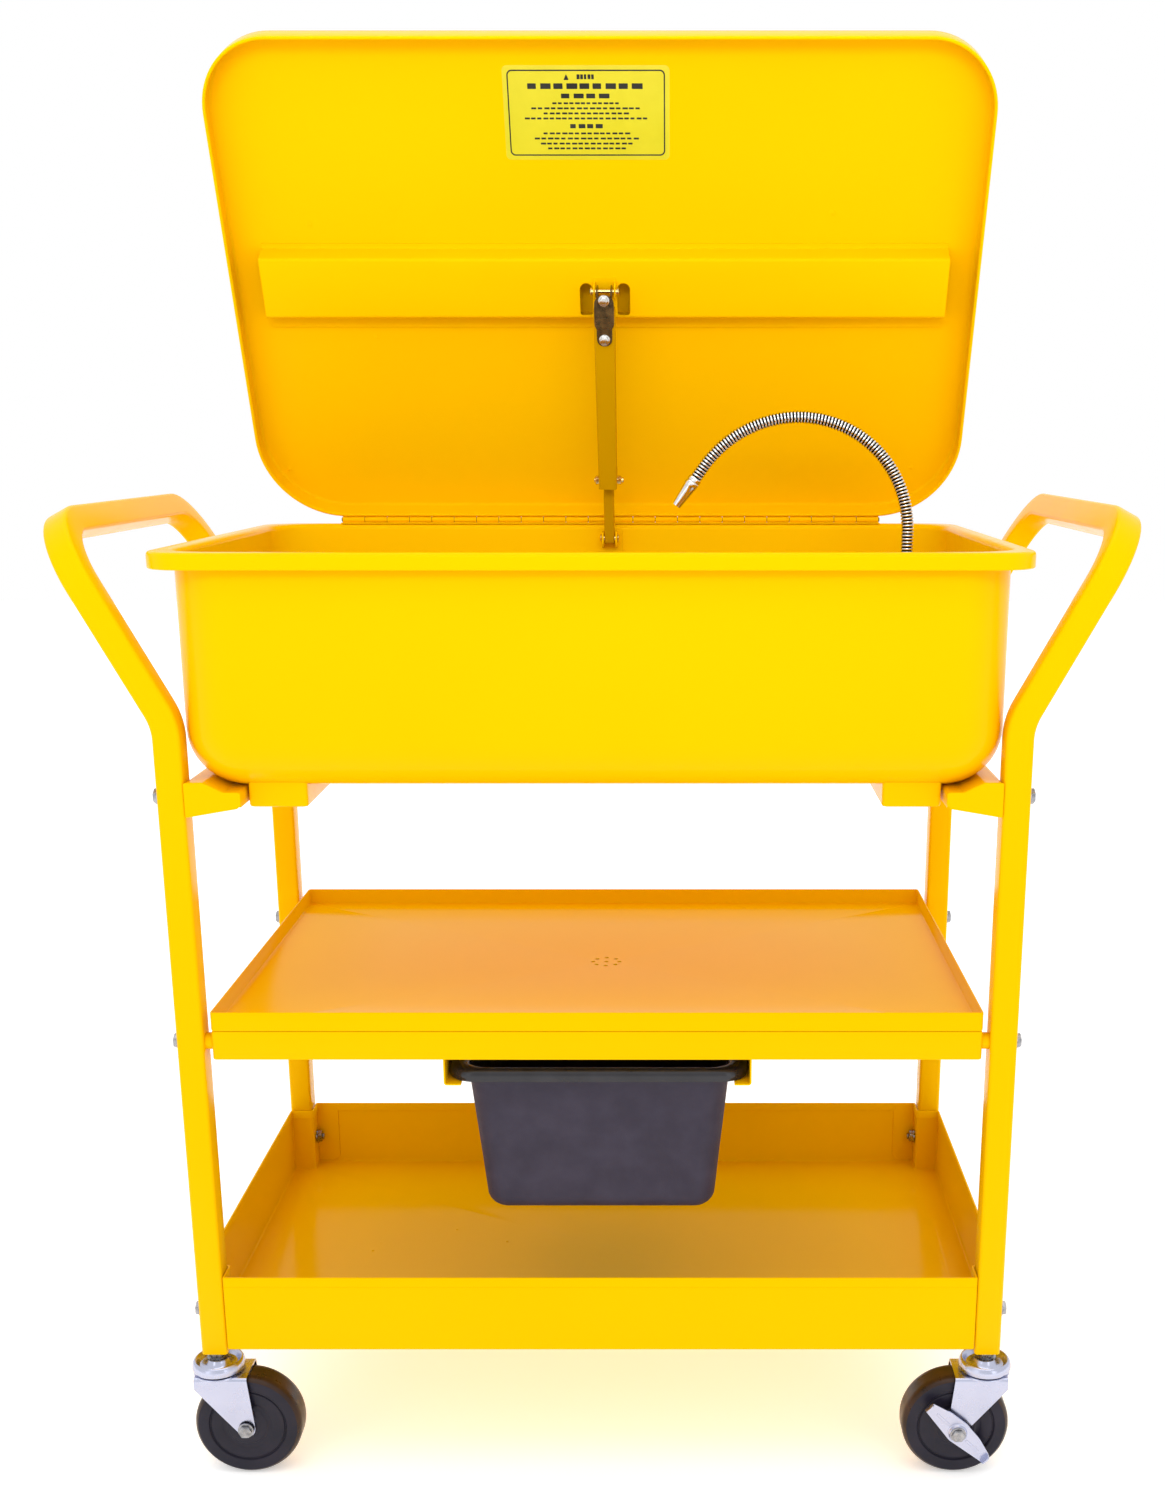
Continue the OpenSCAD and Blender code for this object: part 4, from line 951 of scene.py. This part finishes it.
def neck_path(step):
    """Points and headings along the flexible neck, every step mm."""
    start = Vector((SPOUT.x, SPOUT.y, SPOUT.z + 22))
    straight = NECK_TOP - start.z
    a1, a2 = radians(90) * NECK_BIG, radians(NECK_TURN) * NECK_SMALL
    total = straight + a1 + a2 + NECK_END
    n = int(round(total / step))
    out = []
    c1 = Vector((SPOUT.x - NECK_BIG, SPOUT.y, NECK_TOP))
    c2 = Vector((SPOUT.x - NECK_BIG, SPOUT.y, NECK_TOP + NECK_BIG - NECK_SMALL))
    for i in range(n + 1):
        s = total * i / n
        if s <= straight:
            p, h = start + Vector((0, 0, s)), Vector((0, 0, 1))
        elif s <= straight + a1:
            a = (s - straight) / NECK_BIG
            p = c1 + Vector((cos(a), 0, sin(a))) * NECK_BIG
            h = Vector((-sin(a), 0, cos(a)))
        else:
            a = pi / 2 + min(s - straight - a1, a2) / NECK_SMALL
            h = Vector((-sin(a), 0, cos(a)))
            p = c2 + Vector((cos(a), 0, sin(a))) * NECK_SMALL + h * max(s - straight - a1 - a2, 0)
        out.append((p, h))
    return out


def neck():
    pitch, sub = 3.4, 6
    pts = neck_path(pitch / sub)
    rings = []
    # an interlocked strip: a flat crown, then a step down to the next turn
    shape = (4.9, 6.1, 6.45, 6.5, 6.3, 5.4)
    for i, (p, h) in enumerate(pts):
        r = shape[i % sub]
        side = Vector((0, 1, 0))
        other = h.cross(side)
        angles = [2 * pi * k / 28 for k in range(28)]
        rings.append([tuple(p + side * (r * cos(a)) + other * (r * sin(a))) for a in angles])
    v, f = loft(rings)
    # the step-down faces take the near-black metal: painted shade in the grooves between turns
    idx = [1 if (q // 28) % sub in (0, 4, 5) else 0 for q in range(len(f))]
    piece("spout_neck_rings", (v, f), ("gooseneck",), 25, body="spout", slot="chrome_hose",
        mat=[CHROME, GAP_SHADE_METAL], face_mats=idx)
    end, h = pts[-1]
    turn = h.to_track_quat("Z", "Y").to_matrix().to_4x4()
    m = Matrix.Translation(end * MM) @ turn
    prof = [(5.0, -1.0), (6.9, -0.6), (7.2, 0.2), (7.2, 3.2), (6.8, 3.8), (7.1, 4.4), (7.3, 5.0),
        (7.3, 8.4), (7.0, 9.2), (6.4, 15), (5.9, 22), (5.6, 28), (5.6, 31.4), (5.2, 32.6), (4.6, 33.0),
        (3.7, 32.8), (3.3, 32.0), (3.2, 30.0), (3.2, 9.2), (0, 9.0)]
    prof = [(min(r, 7.4 if z < 9 else 7.0 - (z - 9) * 0.1 + 0.01), z) for r, z in prof]
    piece("spout_nozzle_turned", lathe(prof, 40), ("spout_nozzle",), 30, body="spout", slot="chrome_hose",
        mat=CHROME, matrix=m)


# ---------------------------------------------------------------- casters
TRAIL, AXLE_Z, WHEEL_R = 28.5, 48.0, 53.5


def caster(front, side):
    tag = ("front" if front < 0 else "rear") + "_" + ("left" if side < 0 else "right")
    m = Matrix.Translation((side * LEG_X * MM, (front * LEG_Y + CART_Y) * MM, 0))
    if side > 0:
        m = m @ Matrix.Diagonal((-1, 1, 1, 1))
    fork_body, wheel_body = "caster_" + tag, "roller_" + tag
    # fork: crown plate and two tapering sides pressed from one sheet
    half = 21.2
    mid = [(-half + 1.1, 60), (-half + 1.1, 103.0), (half - 1.1, 103.0), (half - 1.1, 60)]
    sec = sheet_section(mid, 2.2, 3.0, 6)
    v, f = prism(sec, along_x, -26, 60)
    v = [(x, y, z if z > 61 else 33.0) for x, y, z in v]
    ob = piece("fork_" + tag + "_pressed", (v, f), ("fork_" + tag,), 35, body=fork_body, slot="zinc_plate",
        mat=ZINC, matrix=m)
    # the side profile is kept and everything outside it is cut away
    tip, bottom = TRAIL - 5.6, AXLE_Z - 7.2
    behind = [(-60, 10), (-60, 140), (-20.5, 140), (-20.5, 92), (TRAIL - 8.2, AXLE_Z - 4.0), (tip, bottom),
        (tip, 10)]
    ahead = [(tip, 10), (tip, bottom)]
    for dx, dz in ((-2.8, -8.6), (0, -9), (3.4, -8.3), (6.4, -6.3), (8.3, -3.4), (9.0, 0), (8.6, 5)):
        ahead.append((TRAIL + dx, AXLE_Z + dz))
    ahead += [(31.5, 105), (31.5, 140), (100, 140), (100, 10)]
    cut_with(ob, [cutter(*prism(q, along_y, -40, 40), m) for q in (behind, ahead)])
    # swivel head: a dished race with a rolled edge
    head = [(6, 117.0), (9.5, 117.0), (10.6, 115.4), (12.5, 111.6), (15.5, 109.9), (18.4, 110.4),
        (20.2, 112.8), (21.4, 115.2), (22.6, 116.1), (23.9, 115.6), (25.2, 113.4), (25.9, 110.6),
        (26.0, 108.2), (25.4, 106.4), (23.5, 105.3), (6, 105.0)]
    piece("race_" + tag, lathe(head, 72), (), 40, slot="zinc_plate", mat=ZINC, matrix=m)
    lower = [(6.3, 104.15), (21.5, 104.15), (23.5, 104.5), (24.6, 104.1), (25.1, 103.2), (25.1, 102.2),
        (24.2, 101.6), (21.0, 101.6), (21.0, 101.2), (6.3, 101.2)]
    piece("crown_" + tag, lathe(lower, 72), (), 40, body=fork_body, slot="zinc_plate", mat=ZINC, matrix=m)
    parts = [turned(washer(6.0, 11.0, 1.2), "z", (0, 0, 117.1)),
        turned(hex_part(16.6, 7.2, 1.2), "z", (0, 0, 118.3)), lathe([(5.9, 101.0), (5.9, 146),
        (5.2, 146.6), (0, 146.6)], 24), lathe([(0, 99.4), (7.8, 99.4), (8.7, 99.8), (9.0, 100.4),
        (9.0, 101.0), (5.9, 101.0)], 32)]
    piece("stem_" + tag, join(*parts), (), 30, matrix=m, **BOLTS)
    # wheel
    h = 16.0
    q = WHEEL_R / 50.8
    prof = [(4.1, 17.8), (10.6, 18.0), (11.2, 17.6), (12.4, 16.4), (13.2, 16.2)] + [(r_ * q, z) for r_,
        z in ((17.4, 16.2), (18.4, 15.9), (19.4, 14.8), (20.2, 14.5), (23.2, 14.5), (24.0, 14.8),
        (24.8, 15.1), (34.2, 15.2), (34.7, 14.9), (35.1, 14.1), (35.7, 13.9), (36.2, 14.1), (36.6, 15.2),
        (37.2, 15.9), (38.0, h), (46.2, h), (47.0, 15.85), (48.3, 14.6), (49.7, 12.6), (50.4, 10.6),
        (50.75, 8.2), (50.8, 6.0))]
    prof = prof + [(r_, -z) for r_, z in reversed(prof)]
    v, f = lathe(prof, 120, "y", (TRAIL, 0, AXLE_Z))
    n = len(prof)
    idx = []
    for i in range(n - 1):
        both = min(prof[i][0], prof[i + 1][0])
        idx += [1 if both >= 46.9 * q else 0] * 120
    last = (n - 1) * 120            # the flat ends make way for the bore's wall
    f = f[:last] + [(k, (k + 1) % 120, last + (k + 1) % 120, last + k) for k in range(120)]
    idx += [0] * 120
    piece("wheel_" + tag + "_moulded", (v, f), ("wheel_" + tag,), 28, body=wheel_body, slot="hard_rubber",
        mat=[RUBBER, TREAD], face_mats=idx, matrix=m)
    # axle bolt and nut
    out = 6.8 if side > 0 else 0.0
    parts = [lathe([(3.95, -24 - out), (3.95, 25.5), (3.4, 26.3), (0, 26.3)], 24, "y", (TRAIL, 0, AXLE_Z)),
        turned(washer(4.0, 7.6, 1.1), "y", (TRAIL, half + 0.1, AXLE_Z)),
        turned(hex_part(11.8, 4.6, 0.9), "y", (TRAIL, half + 1.2, AXLE_Z)),
        turned(washer(4.0, 8.0, 1.0), "y", (TRAIL, (-23.5 if out < 1 else -30.9), AXLE_Z), True),
        turned(hex_part(11.8, 4.0, 0.9), "y", (TRAIL, -24.5 - out, AXLE_Z), True)]
    piece("axle_" + tag + "_bolt", join(*parts), ("axle_" + tag,), 30, body=fork_body, matrix=m, **BOLTS)
    if side > 0:
        brake(tag, m, half)


def brake(tag, m, half):
    """The stamped locking lever: a winged plate with turned ends and a pressed boss round the axle."""
    out = [(-41, -6), (-20, -9), (0, -12), (20, -9), (41, -6), (41, 5), (20, 11), (0, 13), (-20, 11),
        (-41, 5)]
    out = soft(out, [2, 30, 14, 30, 2, 2, 30, 14, 30, 2], 6)
    y0 = -half - 4.9
    small = [(x * 0.992, z * 0.975) for x, z in out]
    parts = [loft([[(x, y0, z) for x, z in out], [(x, y0 - 1.2, z) for x, z in out],
        [(x, y0 - 1.6, z) for x, z in small]])]
    for x, depth in ((-41.0, 7.5), (39.4, 5.0)):
        tab = soft([(y0, -6), (y0 - depth, -5), (y0 - depth, 4), (y0, 5)], [0.4, 3.4, 3.4, 0.4], 6)
        parts.append(prism(tab, along_x, x, x + 1.6))
    boss = [(4.3, -21.5), (8.4, -21.5), (8.4, -26.3), (10.5, -27.9), (9.4, -28.4), (8.7, -29.6),
        (8.3, -30.4), (7.2, -30.8), (4.3, -30.8)]
    parts.append(lathe(boss, 40, "y"))
    rib = rrect(-30, -12, -1.6, 1.6, 1.5, 5)
    for dx in (0, 42):
        low = [(x + dx, y0 - 1.5, z) for x, z in rib]
        parts.append(loft([low, [(x, y - 0.5, z * 0.7) for x, y, z in low]], (False, True)))
    turn = Matrix.Translation((TRAIL * MM, 0, AXLE_Z * MM)) @ Matrix.Rotation(radians(-45), 4, "Y")
    piece("brake_" + tag + "_stamped", join(*parts), ("brake_" + tag,), 30, body="lever_" + tag,
        slot="zinc_plate", mat=ZINC, matrix=m @ turn)


# ---------------------------------------------------------------- making them
tank()
lid()
stiffener()
lid_label()
for s_ in (1, -1):
    end_frame(s_)
tank_supports()
bottom_tray()
shelf()
bin_rails()
drain_bin()
hinge()
frame_fasteners()
stay()
neck()
for f_ in (-1, 1):
    for s_ in (-1, 1):
        caster(f_, s_)
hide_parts("caster_stems", "stem_nuts")

for row in (        # CAD node, edge width in mm, body, slot, material
        ("leg_inserts", 0.4, "cart", "black_plastic", BLACK),
        ("shelf_spacers", 0.4, "cart", "zinc_plate", YELLOW),
        ("drain_plug", 0.8, "cart", "zinc_plate", ALLOY),
        ("pump_body", 2.0, "cart", "black_plastic", BLACK),
        ("pump_strainer", 0.4, "cart", "zinc_plate", STEEL),
        ("spout_base", 0.9, "cart", "cast_alloy", ALLOY),
        ("spout_pin", 0.5, "cart", "zinc_plate", ZINC_BOLT),
        ("spout_foot", 0.9, "spout", "cast_alloy", ALLOY),
        ("switch_box", 2.2, "cart", "black_plastic", BLACK),
        ("switch_rocker", 0.7, "rocker", "red_plastic", RED),
        ("cable_gland", 0.8, "cart", "black_plastic", BLACK),
        ("work_shelf", 0.4, "cart", "steel_shelf", STEEL)):
    bevelled(*row)

# ---------------------------------------------------------------- stage and light
floor = bpy.data.meshes.new("floor")
floor.from_pydata([(-8, -6, 0), (8, -6, 0), (8, 9, 0), (-8, 9, 0)], [], [(0, 1, 2, 3)])
FLOOR = new_mat("pale_floor", (0.97, 0.97, 0.97), rough=0.75, spec=0.2)
plug(FLOOR, span(FLOOR, noise(FLOOR, 3.0), 0.7, 0.8), "Roughness")
fill(bsdf(FLOOR), {"Emission Color": (1, 1, 1, 1), "Emission Strength": 0.35})
floor.materials.append(FLOOR)
floor_ob = bpy.data.objects.new("floor", floor)
link(floor_ob)

world = bpy.data.worlds.new("studio")
bpy.context.scene.world = world
world.use_nodes = True
fill(world.node_tree.nodes["Background"], {"Color": (1, 1, 1, 1), "Strength": 1.0})


def lamp(name, loc, target, size, energy, spread=180):
    d = bpy.data.lights.new(name, "AREA")
    d.shape = "RECTANGLE"
    d.size, d.size_y = size
    d.energy = energy
    d.spread = radians(spread)
    ob = bpy.data.objects.new(name, d)
    ob.location = loc
    ob.rotation_euler = (Vector(target) - Vector(loc)).to_track_quat("-Z", "Y").to_euler()
    link(ob)


lamp("top", (0, -0.6, 3.2), (0, 0, 0.6), (3.0, 2.2), 20)
lamp("left", (-1.9, -2.6, 1.3), (0, 0, 0.8), (0.9, 2.2), 5)
lamp("right", (1.9, -2.6, 1.3), (0, 0, 0.8), (0.9, 2.2), 5)
lamp("lid_fill", (0, -1.5, 1.55), (0, 0.2, 1.31), (1.4, 0.4), 1.9, 64)

view = bpy.context.scene.view_settings
view.view_transform = "Standard"
view.look = "None"
view.exposure = 0.0
